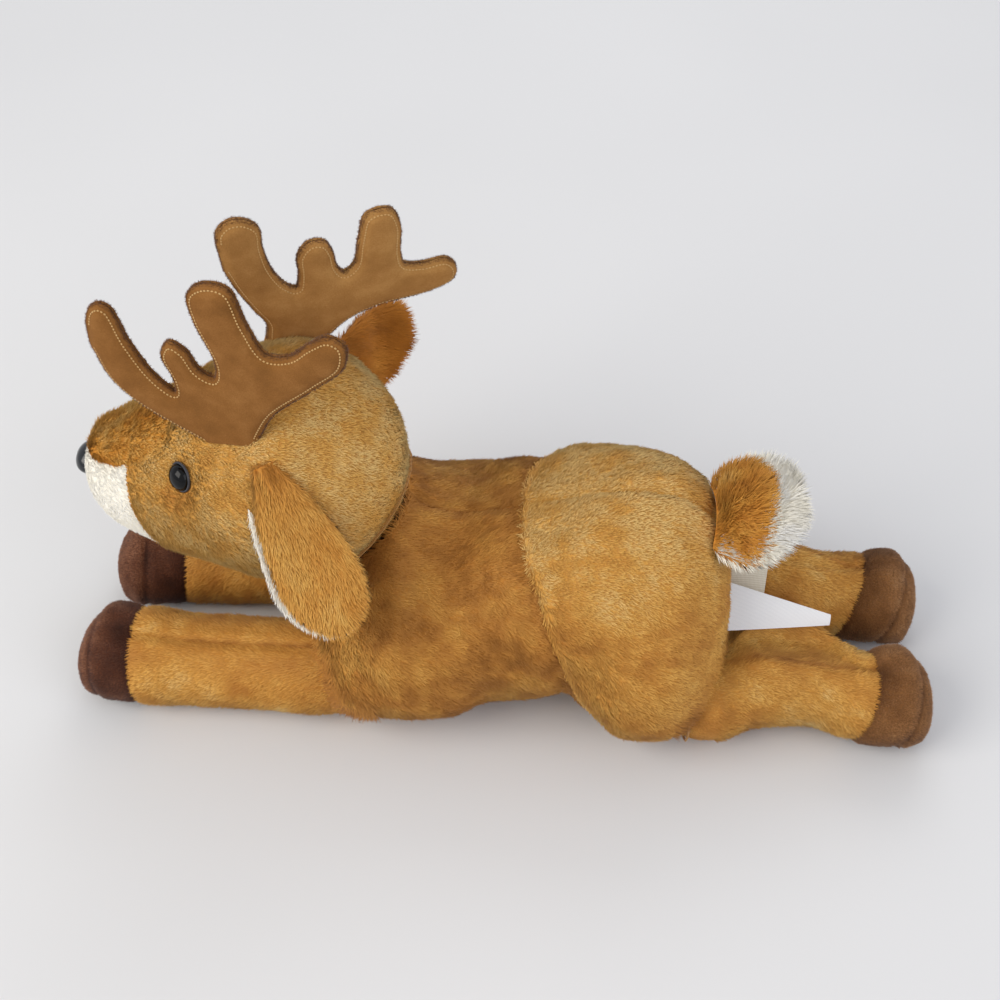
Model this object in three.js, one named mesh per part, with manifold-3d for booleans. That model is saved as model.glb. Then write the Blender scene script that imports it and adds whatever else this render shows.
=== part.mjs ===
// Plush deer lying on its belly, with the head up and all four legs stretched along the ground.
// Millimetres. The head points to -X, the tail to +X, the deer's left side is -Y and up is +Z.
// The origin is on the ground under the middle of the deer's box.
import * as THREE from 'three';
import { mergeVertices } from 'three/addons/utils/BufferGeometryUtils.js';
import Module from 'manifold-3d';

const wasm = await Module();
wasm.setup();

// Cloth, seams and clearances
const skinThickness = 4;      // pile and backing of a body or face panel
const seamGap = 0.3;          // between two panels sewn together
const seatGap = 0.3;          // between a piece and what carries it
const fillGap = 0.3;          // between the panels and the filling
const threadRadius = 0.5;     // gathering thread sewn round each limb root
const threadSteps = 20;
const threadSides = 4;
const neckCreaseTilt = 41;    // how far the neck crease faces down, in degrees
const neckCreaseShare = 0.79; // how far behind the middle of the head ball it lies
const legCreaseShare = 0.35;  // the same for a leg's root ball
const settle = 0.5;           // how deep the ground flattens the filling
const overrun = 1;            // how far a cutting tool runs past the solid
const farCut = 400;           // reach of a half-space cut

// Body
const bodyFront = -74;
const bodyLength = 161;
const bodyWidth = 112;
const bodyHeight = 98;
// Along the body: where, top, underside, half width, and how pear-shaped the section is.
const bodyShares = [
  [0.000, 0.34, 0.34, 0.00, 0.00],
  [0.020, 0.54, 0.12, 0.58, 0.08],
  [0.060, 0.69, 0.02, 0.82, 0.18],
  [0.140, 0.85, -0.01, 0.94, 0.25],
  [0.220, 0.93, -0.01, 0.97, 0.23],
  [0.290, 0.87, -0.01, 0.95, 0.17],
  [0.360, 0.85, 0.00, 0.92, 0.08],
  [0.500, 0.90, 0.03, 0.86, -0.12],
  [0.600, 0.94, 0.03, 0.86, -0.22],
  [0.680, 0.975, 0.00, 0.94, 0.00],
  [0.760, 0.99, -0.01, 1.04, 0.22],
  [0.840, 0.985, -0.01, 1.03, 0.26],
  [0.910, 0.93, 0.00, 0.92, 0.22],
  [0.965, 0.79, 0.06, 0.66, 0.10],
  [0.990, 0.62, 0.18, 0.38, 0.00],
  [1.000, 0.42, 0.42, 0.00, 0.00],
];
const bodyRings = 18;
const bodySides = 20;
const fillRings = 10;
const fillSides = 14;
// The slanted seam between the front panels and the haunch panels: height and place along the body.
const haunchSeamShares = [
  [-0.50, 0.90], [0.04, 0.74], [0.20, 0.675], [0.41, 0.63], [0.59, 0.595], [0.78, 0.55], [0.88, 0.50],
  [1.60, 0.30],
];

// Head: a ball at the back that tapers to the muzzle
const headBallRadius = 43;
const headX = -77;
const headZ = 104;
const snoutLength = 76;
// From the middle of the ball to the nose: where, rise of the middle line, half height, half width.
const snoutShares = [
  [0.00, 0.00, 1.00, 1.00],
  [0.24, -0.02, 0.925, 0.93],
  [0.53, -0.13, 0.745, 0.73],
  [0.68, -0.17, 0.655, 0.62],
  [0.82, -0.17, 0.54, 0.51],
  [0.93, -0.13, 0.38, 0.37],
  [0.98, -0.11, 0.20, 0.21],
  [1.00, -0.10, 0.00, 0.00],
];
const snoutRings = 12;
const ballRings = 9;
const headSides = 22;
// Seams seen from the side, as shares of the snout's length and of the ball's radius:
// under the dark patch over the bridge of the nose, and behind the cream patch.
const bridgeSeamShares = [[1.60, 0.08], [0.82, 0.13], [0.71, 0.21], [0.59, 0.36], [0.48, 0.54], [0.44, 2.00]];
const creamSeamShares = [
  [0.72, 0.40], [0.71, -0.07], [0.68, -0.28], [0.65, -0.47], [0.60, -0.75], [0.55, -2.00],
];

// Eyes, set on the face
const eyeRadius = 6;
const eyeHeight = 3.4;
const eyeRim = 0.9;
const eyeSink = 1.6;
const eyeAhead = 33.5;        // in front of the middle of the head ball
const eyeRise = 15;           // and above it
const eyeYaw = 26;            // how far it looks sideways from straight left, in degrees
const eyePitch = 22;
const shankRadius = 1.8;
const shankLength = 9;
const shankClearance = 0.35;
const washerRadius = 5;
const washerThickness = 1.4;
const washerSeat = 1;
const trimSides = 14;
const eyeSteps = 4;

// Nose
const noseDepth = 5.5;
const noseWidth = 7.5;
const noseHeight = 6;
const noseSink = 2.5;         // its middle behind the tip of the snout
const noseDrop = 4.5;         // and below the middle of the head ball

// Ears, with places measured from the middle of the head ball. The left one hangs with its
// back outwards, the right one is turned with its back to the tail.
const earWidth = 33;
const earThickness = 5;
const liningThickness = 3;
const earCup = 3;
const earLeft = { rootX: -2, rootY: -31.5, rootZ: 26.5, tipX: 25, tipY: -58, tipZ: -26 };
const earRight = { rootX: 11, rootY: 38, rootZ: 17, tipX: 34, tipY: 74, tipZ: -2 };
const earLeftFaceShares = [-0.12, -0.75, 0.65];
const earRightFaceShares = [0.81, -0.57, 0.12];
const earLeftFlap = 0;        // how far the back of an ear swings towards the head, in degrees
const earRightFlap = 30;
// Along the ear: where, half width, thickness.
const earShares = [
  [0.00, 0.30, 0.75],
  [0.06, 0.46, 1.00],
  [0.25, 0.80, 1.00],
  [0.50, 0.98, 1.00],
  [0.70, 1.00, 1.00],
  [0.86, 0.84, 1.00],
  [0.95, 0.55, 0.90],
  [1.00, 0.16, 0.55],
];
const earSteps = 8;
const earSides = 12;

// Antlers: two suede layers round a padding layer. Each outline runs from the front tine
// to the root, as shares of the span and of the height.
const antlerSpan = 83;
const antlerHeight = 66;
const antlerRootDepth = 14;
const suedeThickness = 1.2;
const paddingThickness = 2;
const paddingMargin = 2.6;
const layerGap = 0.3;
const antlerClearance = 0.7;
// Roots measured from the middle of the head ball
const antlerLeft = { x: -14.3, y: -23.3, z: 30.5, turnDegrees: -11.2, leanDegrees: -12.1, tiltDegrees: 94.2 };
const antlerRight = { x: -2.4, y: 27.8, z: 33.7, turnDegrees: 24.7, leanDegrees: 16.9, tiltDegrees: 101.3 };
const antlerCurveSteps = 2;   // straight lines between two points of an outline
const antlerLeftShares = [
  [-0.37, 0.78], [-0.33, 0.86], [-0.28, 0.89], [-0.24, 0.86], [-0.23, 0.65], [-0.19, 0.42], [-0.13, 0.32],
  [-0.11, 0.40], [-0.11, 0.57], [-0.05, 0.65], [0.00, 0.59], [0.02, 0.46], [0.07, 0.41], [0.11, 0.50],
  [0.11, 0.80], [0.14, 0.96], [0.23, 1.01], [0.31, 0.97], [0.32, 0.75], [0.35, 0.57], [0.44, 0.56],
  [0.54, 0.63], [0.63, 0.67], [0.68, 0.62], [0.65, 0.49], [0.50, 0.36], [0.27, 0.18], [0.15, 0.01],
];
const antlerLeftHeelShares = [[-0.11, 0.00], [-0.25, 0.16], [-0.34, 0.29], [-0.39, 0.42], [-0.40, 0.65]];
const antlerRightShares = [
  [-0.42, 0.66], [-0.43, 0.73], [-0.40, 0.80], [-0.34, 0.82], [-0.27, 0.78], [-0.23, 0.65], [-0.17, 0.51],
  [-0.09, 0.40], [-0.03, 0.37], [-0.04, 0.47], [-0.07, 0.60], [-0.04, 0.70], [0.02, 0.71], [0.07, 0.64],
  [0.11, 0.54], [0.15, 0.50], [0.18, 0.56], [0.16, 0.74], [0.15, 0.90], [0.19, 0.95], [0.25, 0.96],
  [0.31, 0.87], [0.36, 0.67], [0.40, 0.59], [0.48, 0.59], [0.58, 0.63], [0.64, 0.58], [0.65, 0.49],
  [0.57, 0.40], [0.35, 0.28], [0.24, 0.16], [0.18, 0.03],
];
const antlerRightHeelShares = [[-0.09, 0.00], [-0.11, 0.10], [-0.19, 0.21], [-0.28, 0.34], [-0.36, 0.48]];

// Legs. Each root is a ball that lifts a little off the ground.
const legRadius = 18.5;
const legRootZ = 20;
const frontLeft = { x: -58, y: -27, reach: 164.8, hoofY: -24, hoofShare: 0.76, hoofTiltDegrees: 2 };
const frontRight = { x: -58, y: 32, reach: 162, hoofY: 25, hoofShare: 0.70, hoofTiltDegrees: -6 };
const hindLeft = { x: 78, y: -30, reach: 164.8, hoofY: -25, hoofShare: 0.68, hoofTiltDegrees: 18 };
const hindRight = { x: 78, y: 34, reach: 164.8, hoofY: 23, hoofShare: 0.68, hoofTiltDegrees: 18 };
const legSides = 14;
const legRings = 9;
const legBallRings = 4;
// Along a leg: where, height, width, and how far its middle line has come down to the ground.
const frontLegShares = [
  [0.00, 1.00, 1.00, 0.0],
  [0.25, 0.99, 0.98, 0.8],
  [0.55, 0.98, 0.98, 1.0],
  [0.74, 1.04, 1.04, 1.0],
  [0.87, 1.05, 1.06, 1.0],
  [0.96, 0.78, 0.78, 0.9],
  [0.99, 0.42, 0.44, 0.9],
  [1.00, 0.00, 0.00, 0.9],
];
const hindLegShares = [
  [0.00, 1.00, 1.00, 0.0],
  [0.25, 0.96, 0.95, 0.8],
  [0.50, 0.88, 0.86, 1.0],
  [0.70, 0.97, 0.99, 1.0],
  [0.85, 1.06, 1.08, 1.0],
  [0.95, 0.84, 0.86, 0.9],
  [0.99, 0.44, 0.46, 0.9],
  [1.00, 0.00, 0.00, 0.9],
];
const hoofTipRow = 5;         // from this row on, the middle line stays where it is
// How far each leg can swing, in degrees
const legOut = 25;
const legIn = 2;
const legUp = 15;
const legDown = 25;
const swingSlack = 3;         // more than that, in degrees, is cut out of the body
const reliefDepth = 34;
const reliefSquareShare = 0.6; // corners of the swept room

// Tail
const tailTopLength = 27;
const tailUnderLength = 36;
const tailWidth = 42;
const tailTopThickness = 7;
const tailUnderThickness = 6;
const tailRootInset = 11;     // in front of the body's rear end
const tailRootZ = 84;
const tailTilt = 32;
const tailUp = 25;            // how far the tail lifts, in degrees
const tailSteps = 8;
const tailSides = 12;
// Along the tail: where, half width, thickness.
const tailShares = [
  [0.00, 0.60, 0.20],
  [0.20, 0.86, 0.60],
  [0.45, 1.00, 1.00],
  [0.70, 0.96, 1.00],
  [0.90, 0.66, 0.75],
  [1.00, 0.10, 0.15],
];

// Labels, both left plain. Each starts inside the body, so far in front of its rear end.
const careLabel = {
  inset: 7, y: 2, z: 52, length: 20, width: 13, tipWidth: 13,
  turnDegrees: 0, dropDegrees: 8, rollDegrees: 45,
};
const flagLabel = {
  inset: 7, y: -12, z: 50, length: 46, width: 20, tipWidth: 4,
  turnDegrees: 6, dropDegrees: 13, rollDegrees: 45,
};
const labelThickness = 0.5;

// Colours and finishes
const pile = (colour) => new THREE.MeshStandardMaterial({ color: colour, roughness: 0.95, metalness: 0 });
const glossy = (colour) => new THREE.MeshStandardMaterial({ color: colour, roughness: 0.12, metalness: 0 });
const tan = 0xc08a45;
const deepTan = 0xa9681f;
const cream = 0xf3ebcb;
const filling = 0xf2f0ea;
const suede = 0x9a6b3f;
const paddingColour = 0xd8c7a6;
const darkMinky = 0x4a2a1c;
const brownMinky = 0x8a5a3f;
const charcoal = 0x23252b;
const clearWasher = 0xe6e6e0;
const satin = 0xfafafa;
const careCloth = 0xf0ead8;

const deer = new THREE.Group();

// Turns a closed geometry into a solid.
function solidOf(geometry) {
  const bare = geometry.index ? geometry.toNonIndexed() : geometry.clone();
  bare.deleteAttribute('normal');
  bare.deleteAttribute('uv');
  const merged = mergeVertices(bare, 1e-4);
  return new wasm.Manifold(new wasm.Mesh({
    numProp: 3,
    vertProperties: new Float32Array(merged.attributes.position.array),
    triVerts: new Uint32Array(merged.index.array),
  }));
}

// Adds a solid to the deer as a named mesh.
function add(name, solid, material) {
  const tidy = solid.simplify(seamGap / 4);
  const { vertProperties, triVerts, numProp } = tidy.getMesh();
  const position = new Float32Array((vertProperties.length / numProp) * 3);
  for (let i = 0; i < position.length / 3; i += 1) {
    for (let k = 0; k < 3; k += 1) position[3 * i + k] = vertProperties[numProp * i + k];
  }
  const geometry = new THREE.BufferGeometry();
  geometry.setAttribute('position', new THREE.BufferAttribute(position, 3));
  geometry.setIndex(new THREE.BufferAttribute(new Uint32Array(triVerts), 1));
  geometry.computeVertexNormals();
  const mesh = new THREE.Mesh(geometry, material);
  mesh.name = name;
  deer.add(mesh);
}

// Value of a table of shares between its rows. Rows crowd towards both ends of the
// form, so the places are compared by angle and the ends come out round.
function rowAt(table, share, rounded) {
  const place = (s) => (rounded ? Math.acos(1 - 2 * s) : s);
  const x = table.map((row) => place(row[0]));
  const t = place(share);
  let i = 0;
  while (i < x.length - 2 && t > x[i + 1]) i += 1;
  const h = x[i + 1] - x[i];
  const u = (t - x[i]) / h;
  return table[i].map((value, column) => {
    const secant = (j) => (table[j + 1][column] - table[j][column]) / (x[j + 1] - x[j]);
    const slope = (j) => {
      if (j === 0) return secant(0);
      if (j === x.length - 1) return secant(j - 1);
      const before = secant(j - 1);
      const after = secant(j);
      return before * after <= 0 ? 0 : (2 * before * after) / (before + after);
    };
    const next = table[i + 1][column];
    return value * (1 + 2 * u) * (1 - u) ** 2 + h * slope(i) * u * (1 - u) ** 2
      + next * u * u * (3 - 2 * u) + h * slope(i + 1) * u * u * (u - 1);
  });
}

// A closed form through rings that stand across X. A ring has x, the height of its
// middle, its half width and half height, its sideways place, the half height below its
// middle where that differs, a pear share, a cup and how square its corners are.
function loft(rings, sides) {
  const position = [];
  const index = [];
  const first = rings[0];
  const last = rings[rings.length - 1];
  position.push(first.x, first.y ?? 0, first.z);
  const body = rings.slice(1, -1);
  for (const ring of body) {
    for (let k = 0; k < sides; k += 1) {
      const angle = (2 * Math.PI * k) / sides;
      const fuller = (value) => Math.sign(value) * Math.abs(value) ** (1 - (ring.square ?? 0));
      const across = fuller(Math.cos(angle)) * (1 - (ring.pear ?? 0) * Math.sin(angle));
      const tall = Math.sin(angle) < 0 ? ring.under ?? ring.halfHeight : ring.halfHeight;
      position.push(
        ring.x,
        (ring.y ?? 0) + ring.halfWidth * across,
        ring.z + tall * fuller(Math.sin(angle)) + (ring.cup ?? 0) * across ** 2,
      );
    }
  }
  position.push(last.x, last.y ?? 0, last.z);
  const end = position.length / 3 - 1;
  for (let k = 0; k < sides; k += 1) {
    const next = (k + 1) % sides;
    index.push(0, 1 + next, 1 + k);
    for (let r = 0; r < body.length - 1; r += 1) {
      const a = 1 + r * sides;
      const b = a + sides;
      index.push(a + k, a + next, b + next, a + k, b + next, b + k);
    }
    const a = 1 + (body.length - 1) * sides;
    index.push(a + k, a + next, end);
  }
  const geometry = new THREE.BufferGeometry();
  geometry.setAttribute('position', new THREE.Float32BufferAttribute(position, 3));
  geometry.setIndex(index);
  const solid = solidOf(geometry);
  if (solid.volume() > 0) return solid;
  geometry.setIndex(index.map((value, i) => index[i - (i % 3) + 2 - (i % 3)]));
  return solidOf(geometry);
}

const roundShare = (step, steps) => (1 - Math.cos((Math.PI * step) / steps)) / 2;
const matrix = (...parts) => parts.reduce((all, part) => all.multiply(part), new THREE.Matrix4());
const move = (x, y, z) => new THREE.Matrix4().makeTranslation(x, y, z);
const turn = (axis, degrees) => new THREE.Matrix4().makeRotationAxis(axis, THREE.MathUtils.degToRad(degrees));
const X = new THREE.Vector3(1, 0, 0);
const Y = new THREE.Vector3(0, 1, 0);
const Z = new THREE.Vector3(0, 0, 1);
const placed = (solid, where) => solid.transform(where.elements);
const mirrored = (solid) => solid.mirror([0, 1, 0]);
const box = (x0, x1, y0, y1, z0, z1) => placed(
  solidOf(new THREE.BoxGeometry(x1 - x0, y1 - y0, z1 - z0)),
  move((x0 + x1) / 2, (y0 + y1) / 2, (z0 + z1) / 2),
);
const ball = (radius, x, y, z, sides) => placed(
  solidOf(new THREE.SphereGeometry(radius, sides, Math.round(sides / 2))),
  matrix(move(x, y, z), turn(X, 90)),
);
const ground = box(-farCut, farCut, -farCut, farCut, -farCut, 0);
const leftHalf = box(-farCut, farCut, -farCut, -seamGap / 2, -farCut, farCut);
const rightHalf = box(-farCut, farCut, seamGap / 2, farCut, -farCut, farCut);

// A slab across the deer whose outline is given in x and z.
function sideSlab(outline, halfWidth) {
  const shape = new THREE.Shape(outline.map(([x, z]) => new THREE.Vector2(x, z)));
  const geometry = new THREE.ExtrudeGeometry(shape, { depth: 2 * halfWidth, bevelEnabled: false });
  return placed(solidOf(geometry), matrix(move(0, halfWidth, 0), turn(X, 90)));
}

// Body form, shrunk by an inset for the filling
function bodyForm(inset, count, sides) {
  const rings = [];
  const reach = bodyLength - 2 * inset;
  for (let i = 0; i <= count; i += 1) {
    const [along, top, under, width, pear] = rowAt(bodyShares, roundShare(i, count), true);
    const halfHeight = Math.max((top - under) * bodyHeight / 2 - inset, 0);
    rings.push({
      x: bodyFront + inset + along * reach,
      z: (top + under) * bodyHeight / 2,
      halfHeight,
      halfWidth: Math.max(width * bodyWidth / 2 - inset, 0),
      pear,
    });
  }
  return loft(rings, sides);
}

// Head form about the middle of its ball, shrunk by an inset
function headForm(inset, sides, ballCount, snoutCount) {
  const rings = [];
  const radius = headBallRadius - inset;
  for (let i = 0; i < ballCount; i += 1) {
    const angle = (Math.PI / 2) * (i / ballCount);
    const reach = radius * Math.sin(angle);
    rings.push({ x: radius * Math.cos(angle), z: 0, halfHeight: reach, halfWidth: reach });
  }
  for (let i = 0; i <= snoutCount; i += 1) {
    const [along, rise, tall, wide] = rowAt(snoutShares, Math.sin((Math.PI / 2) * (i / snoutCount)), false);
    rings.push({
      x: -along * (snoutLength - inset),
      z: rise * headBallRadius,
      halfHeight: Math.max(tall * headBallRadius - inset, 0),
      halfWidth: Math.max(wide * headBallRadius - inset, 0),
    });
  }
  return placed(loft(rings, sides), move(headX, 0, headZ));
}

// Room round a root ball, with the thread in it. The socket's flats and corners clear it too.
const threadRoom = seatGap + 2 * threadRadius + seatGap;
const headSocketSides = 36;
const legSocketSides = 20;
const socketRadius = (radius, sides) => (
  (radius + threadRoom + threadRadius / 2) / Math.cos(Math.PI / sides) ** 2
);

// Leg form along +X from the middle of its root ball
function legForm(table, length) {
  const rings = [];
  for (let i = 0; i < legBallRings; i += 1) {
    const angle = (Math.PI / 2) * (i / legBallRings);
    const reach = legRadius * Math.sin(angle);
    rings.push({ x: -legRadius * Math.cos(angle), z: 0, halfHeight: reach, halfWidth: reach });
  }
  for (let i = 0; i <= legRings; i += 1) {
    const [along, tall, wide, down] = rowAt(table, Math.sin((Math.PI / 2) * (i / legRings)), false);
    const lowered = Math.max(tall, table[hoofTipRow][1]) * legRadius - settle - legRootZ;
    rings.push({
      x: along * length,
      z: down * lowered,
      halfHeight: tall * legRadius,
      halfWidth: wide * legRadius,
    });
  }
  return loft(rings, legSides);
}

// Room that a leg sweeps in front of its root ball
function legRelief() {
  const radians = THREE.MathUtils.degToRad;
  const flats = Math.cos(Math.PI / legSides);
  const side = (degrees, depth) => (
    ((legRadius + depth * Math.sin(radians(degrees))) / Math.cos(radians(degrees)) + seatGap) / flats
  );
  const rings = [{ x: 0, z: 0 }];
  for (const [depth, square] of [[0, 0], [reliefDepth, reliefSquareShare]]) {
    const out = side(legOut + swingSlack, depth);
    const inner = side(legIn + swingSlack, depth);
    const up = side(legUp + swingSlack, depth);
    const down = side(legDown + swingSlack, depth);
    rings.push({
      x: depth + overrun / 2,
      y: (out - inner) / 2,
      z: (up - down) / 2,
      halfWidth: (out + inner) / 2,
      halfHeight: (up + down) / 2,
      square,
    });
  }
  rings.push({ x: reliefDepth + overrun, y: rings[2].y, z: rings[2].z });
  return loft(rings, legSides);
}

// Where a leg starts and which way it points
function legPlace({ x, y, reach, hoofY, hoofShare, hoofTiltDegrees }) {
  const run = reach - Math.abs(x);
  const aim = THREE.MathUtils.radToDeg(Math.atan2(hoofY - y, Math.sign(x) * run));
  const where = matrix(move(x, y, legRootZ), turn(Z, aim));
  return { where, length: Math.hypot(run, hoofY - y), hoofShare, hoofTiltDegrees };
}
const frontLeftPlace = legPlace(frontLeft);
const frontRightPlace = legPlace(frontRight);
const hindLeftPlace = legPlace(hindLeft);
const hindRightPlace = legPlace(hindRight);

// Body panels and filling
const headSocket = ball(socketRadius(headBallRadius, headSocketSides), headX, 0, headZ, headSocketSides);
const legSocket = ball(socketRadius(legRadius, legSocketSides), 0, 0, 0, legSocketSides);
const outOnLeft = legRelief().add(legSocket);
const outOnRight = mirrored(legRelief()).add(legSocket);
const rootCuts = [
  placed(outOnLeft, frontLeftPlace.where), placed(outOnRight, frontRightPlace.where),
  placed(outOnRight, hindLeftPlace.where), placed(outOnLeft, hindRightPlace.where), ground,
].reduce((all, cut) => all.add(cut), headSocket);
const bodyOuter = bodyForm(0, bodyRings, bodySides);
const bodySkin = bodyOuter.subtract(bodyForm(skinThickness, fillRings, fillSides)).subtract(rootCuts);
const seamLine = haunchSeamShares.map(([up, along]) => [bodyFront + along * bodyLength, up * bodyHeight]);
const shifted = (line, gap) => line.map(([x, z]) => [x + gap, z]);
const seamPart = (gap, far) => sideSlab(
  [...shifted(seamLine, gap), [far, seamLine[seamLine.length - 1][1]], [far, seamLine[0][1]]],
  farCut,
);
const frontPart = seamPart(-seamGap / 2, -farCut);
const rearPart = seamPart(seamGap / 2, farCut);
add('body_front_left', bodySkin.intersect(leftHalf).intersect(frontPart), pile(tan));
add('body_front_right', bodySkin.intersect(rightHalf).intersect(frontPart), pile(tan));
add('haunch_left', bodySkin.intersect(leftHalf).intersect(rearPart), pile(tan));
add('haunch_right', bodySkin.intersect(rightHalf).intersect(rearPart), pile(tan));
const bodyFill = bodyForm(skinThickness + fillGap, fillRings, fillSides);
add('body_stuffing', bodyFill.subtract(rootCuts), pile(filling));

// Neck gathering thread, lying on the head ball along the crease
function rootThread(radius, offsetShare, where) {
  const reach = radius + seatGap + threadRadius;
  const ringRadius = reach * Math.sqrt(1 - offsetShare ** 2);
  const ring = new THREE.TorusGeometry(ringRadius, threadRadius, threadSides, threadSteps);
  return placed(solidOf(ring), matrix(where, move(reach * offsetShare, 0, 0), turn(Y, 90)));
}
const neckPlace = matrix(move(headX, 0, headZ), turn(Y, neckCreaseTilt));
add('neck_seam_thread', rootThread(headBallRadius, neckCreaseShare, neckPlace), pile(deepTan));

// Face panels
const headOuter = headForm(0, headSides, ballRings, snoutRings);
const headFill = (gap) => headForm(
  skinThickness + gap,
  fillSides,
  Math.round(ballRings / 2) + 1,
  Math.round(snoutRings / 2),
);
const noseAt = move(headX - snoutLength + noseSink, 0, headZ - noseDrop);
const noseTip = (room) => {
  const sphere = new THREE.SphereGeometry(1, trimSides, trimSides / 2);
  sphere.scale(noseDepth + room, noseWidth + room, noseHeight + room);
  return placed(solidOf(sphere), noseAt);
};
const rod = (radius, from, to, sides) => {
  const cylinder = new THREE.CylinderGeometry(radius, radius, to - from, sides);
  return placed(solidOf(cylinder), matrix(move((from + to) / 2, 0, 0), turn(Z, 90)));
};
const eyePlace = matrix(
  move(headX - eyeAhead, -eyeY(), headZ + eyeRise),
  turn(Z, -90 - eyeYaw),
  turn(Y, -eyePitch),
);

// Half width of the face at the eye
function eyeY() {
  const [, rise, tall, wide] = rowAt(snoutShares, eyeAhead / snoutLength, false);
  const up = (eyeRise - rise * headBallRadius) / (tall * headBallRadius);
  return wide * headBallRadius * Math.sqrt(1 - up * up);
}

// An eye looks along its +X: rim, dome and shank in one, turned from a half outline.
function eyeSolid() {
  const outline = [
    new THREE.Vector2(0, -shankLength),
    new THREE.Vector2(shankRadius, -shankLength),
    new THREE.Vector2(shankRadius, 0),
    new THREE.Vector2(eyeRadius, 0),
    new THREE.Vector2(eyeRadius, eyeRim),
  ];
  const domeRadius = eyeRadius - eyeRim / 2;
  for (let i = 1; i < eyeSteps; i += 1) {
    const angle = (Math.PI / 2) * (i / eyeSteps);
    outline.push(new THREE.Vector2(domeRadius * Math.cos(angle), eyeRim + eyeHeight * Math.sin(angle)));
  }
  outline.push(new THREE.Vector2(0, eyeRim + eyeHeight));
  const turned = solidOf(new THREE.LatheGeometry(outline, trimSides));
  return placed(turned, matrix(move(-eyeSink, 0, 0), turn(Z, -90)));
}
const washerAt = eyeSink + skinThickness + washerSeat;
const shankRoom = (from, to) => rod(shankRadius + shankClearance, from - overrun, to, trimSides);
const washer = (from) => rod(washerRadius, from - washerThickness, from, trimSides)
  .subtract(shankRoom(from - washerThickness, from + overrun));
const eyeSeat = rod(eyeRadius + seatGap, -eyeSink - seatGap, farCut, trimSides)
  .add(shankRoom(-shankLength - eyeSink, 0));
const washerRoom = (from) => rod(
  washerRadius + fillGap,
  from - washerThickness - fillGap,
  from + fillGap + skinThickness,
  trimSides,
);
const bothEyes = (solid) => {
  const left = placed(solid, eyePlace);
  return left.add(mirrored(left));
};
const nosePlace = matrix(noseAt, turn(Z, 180));
const noseShank = rod(shankRadius, -noseDepth - shankLength, 0, trimSides);
const noseShankRoom = placed(shankRoom(-noseDepth - shankLength, 0), nosePlace);
const noseWasherAt = -noseDepth - skinThickness;
const headCuts = bothEyes(eyeSeat).add(noseTip(seatGap)).add(noseShankRoom);
const headSkin = headOuter.subtract(headFill(0)).subtract(headCuts);
const onHead = ([ahead, up]) => [headX - ahead * snoutLength, headZ + up * headBallRadius];
const bridgeLine = bridgeSeamShares.map(onHead);
const creamLine = creamSeamShares.map(onHead);
const grow = seamGap / 2;
const bridgeOutline = (gap) => [...bridgeLine, [-farCut, bridgeLine[bridgeLine.length - 1][1]]]
  .map(([x, z]) => [x, z + gap]);
const creamOutline = (gap) => [
  ...creamLine.map(([x, z]) => [x - gap, z]),
  [-farCut, creamLine[creamLine.length - 1][1]],
  [-farCut, creamLine[0][1]],
];
const bridgePart = sideSlab(bridgeOutline(grow), farCut);
const bridgeRoom = sideSlab(bridgeOutline(-grow), farCut);
const creamPart = sideSlab(creamOutline(grow), farCut);
const creamRoom = sideSlab(creamOutline(-grow), farCut);
add('bridge_panel', headSkin.intersect(bridgePart), pile(deepTan));
add('muzzle_panel', headSkin.subtract(bridgeRoom).intersect(creamPart), pile(cream));
const sides = headSkin.subtract(bridgeRoom).subtract(creamRoom);
add('face_left', sides.intersect(leftHalf), pile(tan));
add('face_right', sides.intersect(rightHalf), pile(tan));
const fillCuts = bothEyes(washerRoom(-washerAt).add(eyeSeat)).add(noseTip(seatGap))
  .add(placed(washerRoom(noseWasherAt), nosePlace))
  .add(noseShankRoom);
add('head_stuffing', headFill(fillGap).subtract(fillCuts), pile(filling));
add('eye_left', placed(eyeSolid(), eyePlace), glossy(charcoal));
add('eye_right', mirrored(placed(eyeSolid(), eyePlace)), glossy(charcoal));
add('eye_washer_left', placed(washer(-washerAt), eyePlace), pile(clearWasher));
add('eye_washer_right', mirrored(placed(washer(-washerAt), eyePlace)), pile(clearWasher));
add('nose', noseTip(0).add(placed(noseShank, nosePlace)), glossy(charcoal));
add('nose_washer', placed(washer(noseWasherAt), nosePlace), pile(clearWasher));

// A flat form with a rounded face on one side: the outer leaf, the lining or a tail layer
function leafSolid(table, { length, width, upper, under, cup }, steps, sides) {
  const rings = [{ x: 0, z: 0 }];
  const tip = 1 / (2 * steps);
  for (let i = 0; i <= steps; i += 1) {
    const [along, wide, thick] = rowAt(table, roundShare(i, steps), true);
    rings.push({
      x: (tip / 2 + along * (1 - tip)) * length,
      z: (cup ?? 0) * -Math.sin(Math.PI * along) + Math.sign(upper - under) * seamGap / 2,
      halfWidth: wide * width / 2,
      halfHeight: thick * upper,
      under: thick * under,
      cup: (cup ?? 0) * Math.sin(Math.PI * along),
    });
  }
  rings.push({ x: length, z: 0 });
  rings[0].z = rings[1].z;
  rings[rings.length - 1].z = rings[rings.length - 2].z;
  return loft(rings, sides);
}

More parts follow.
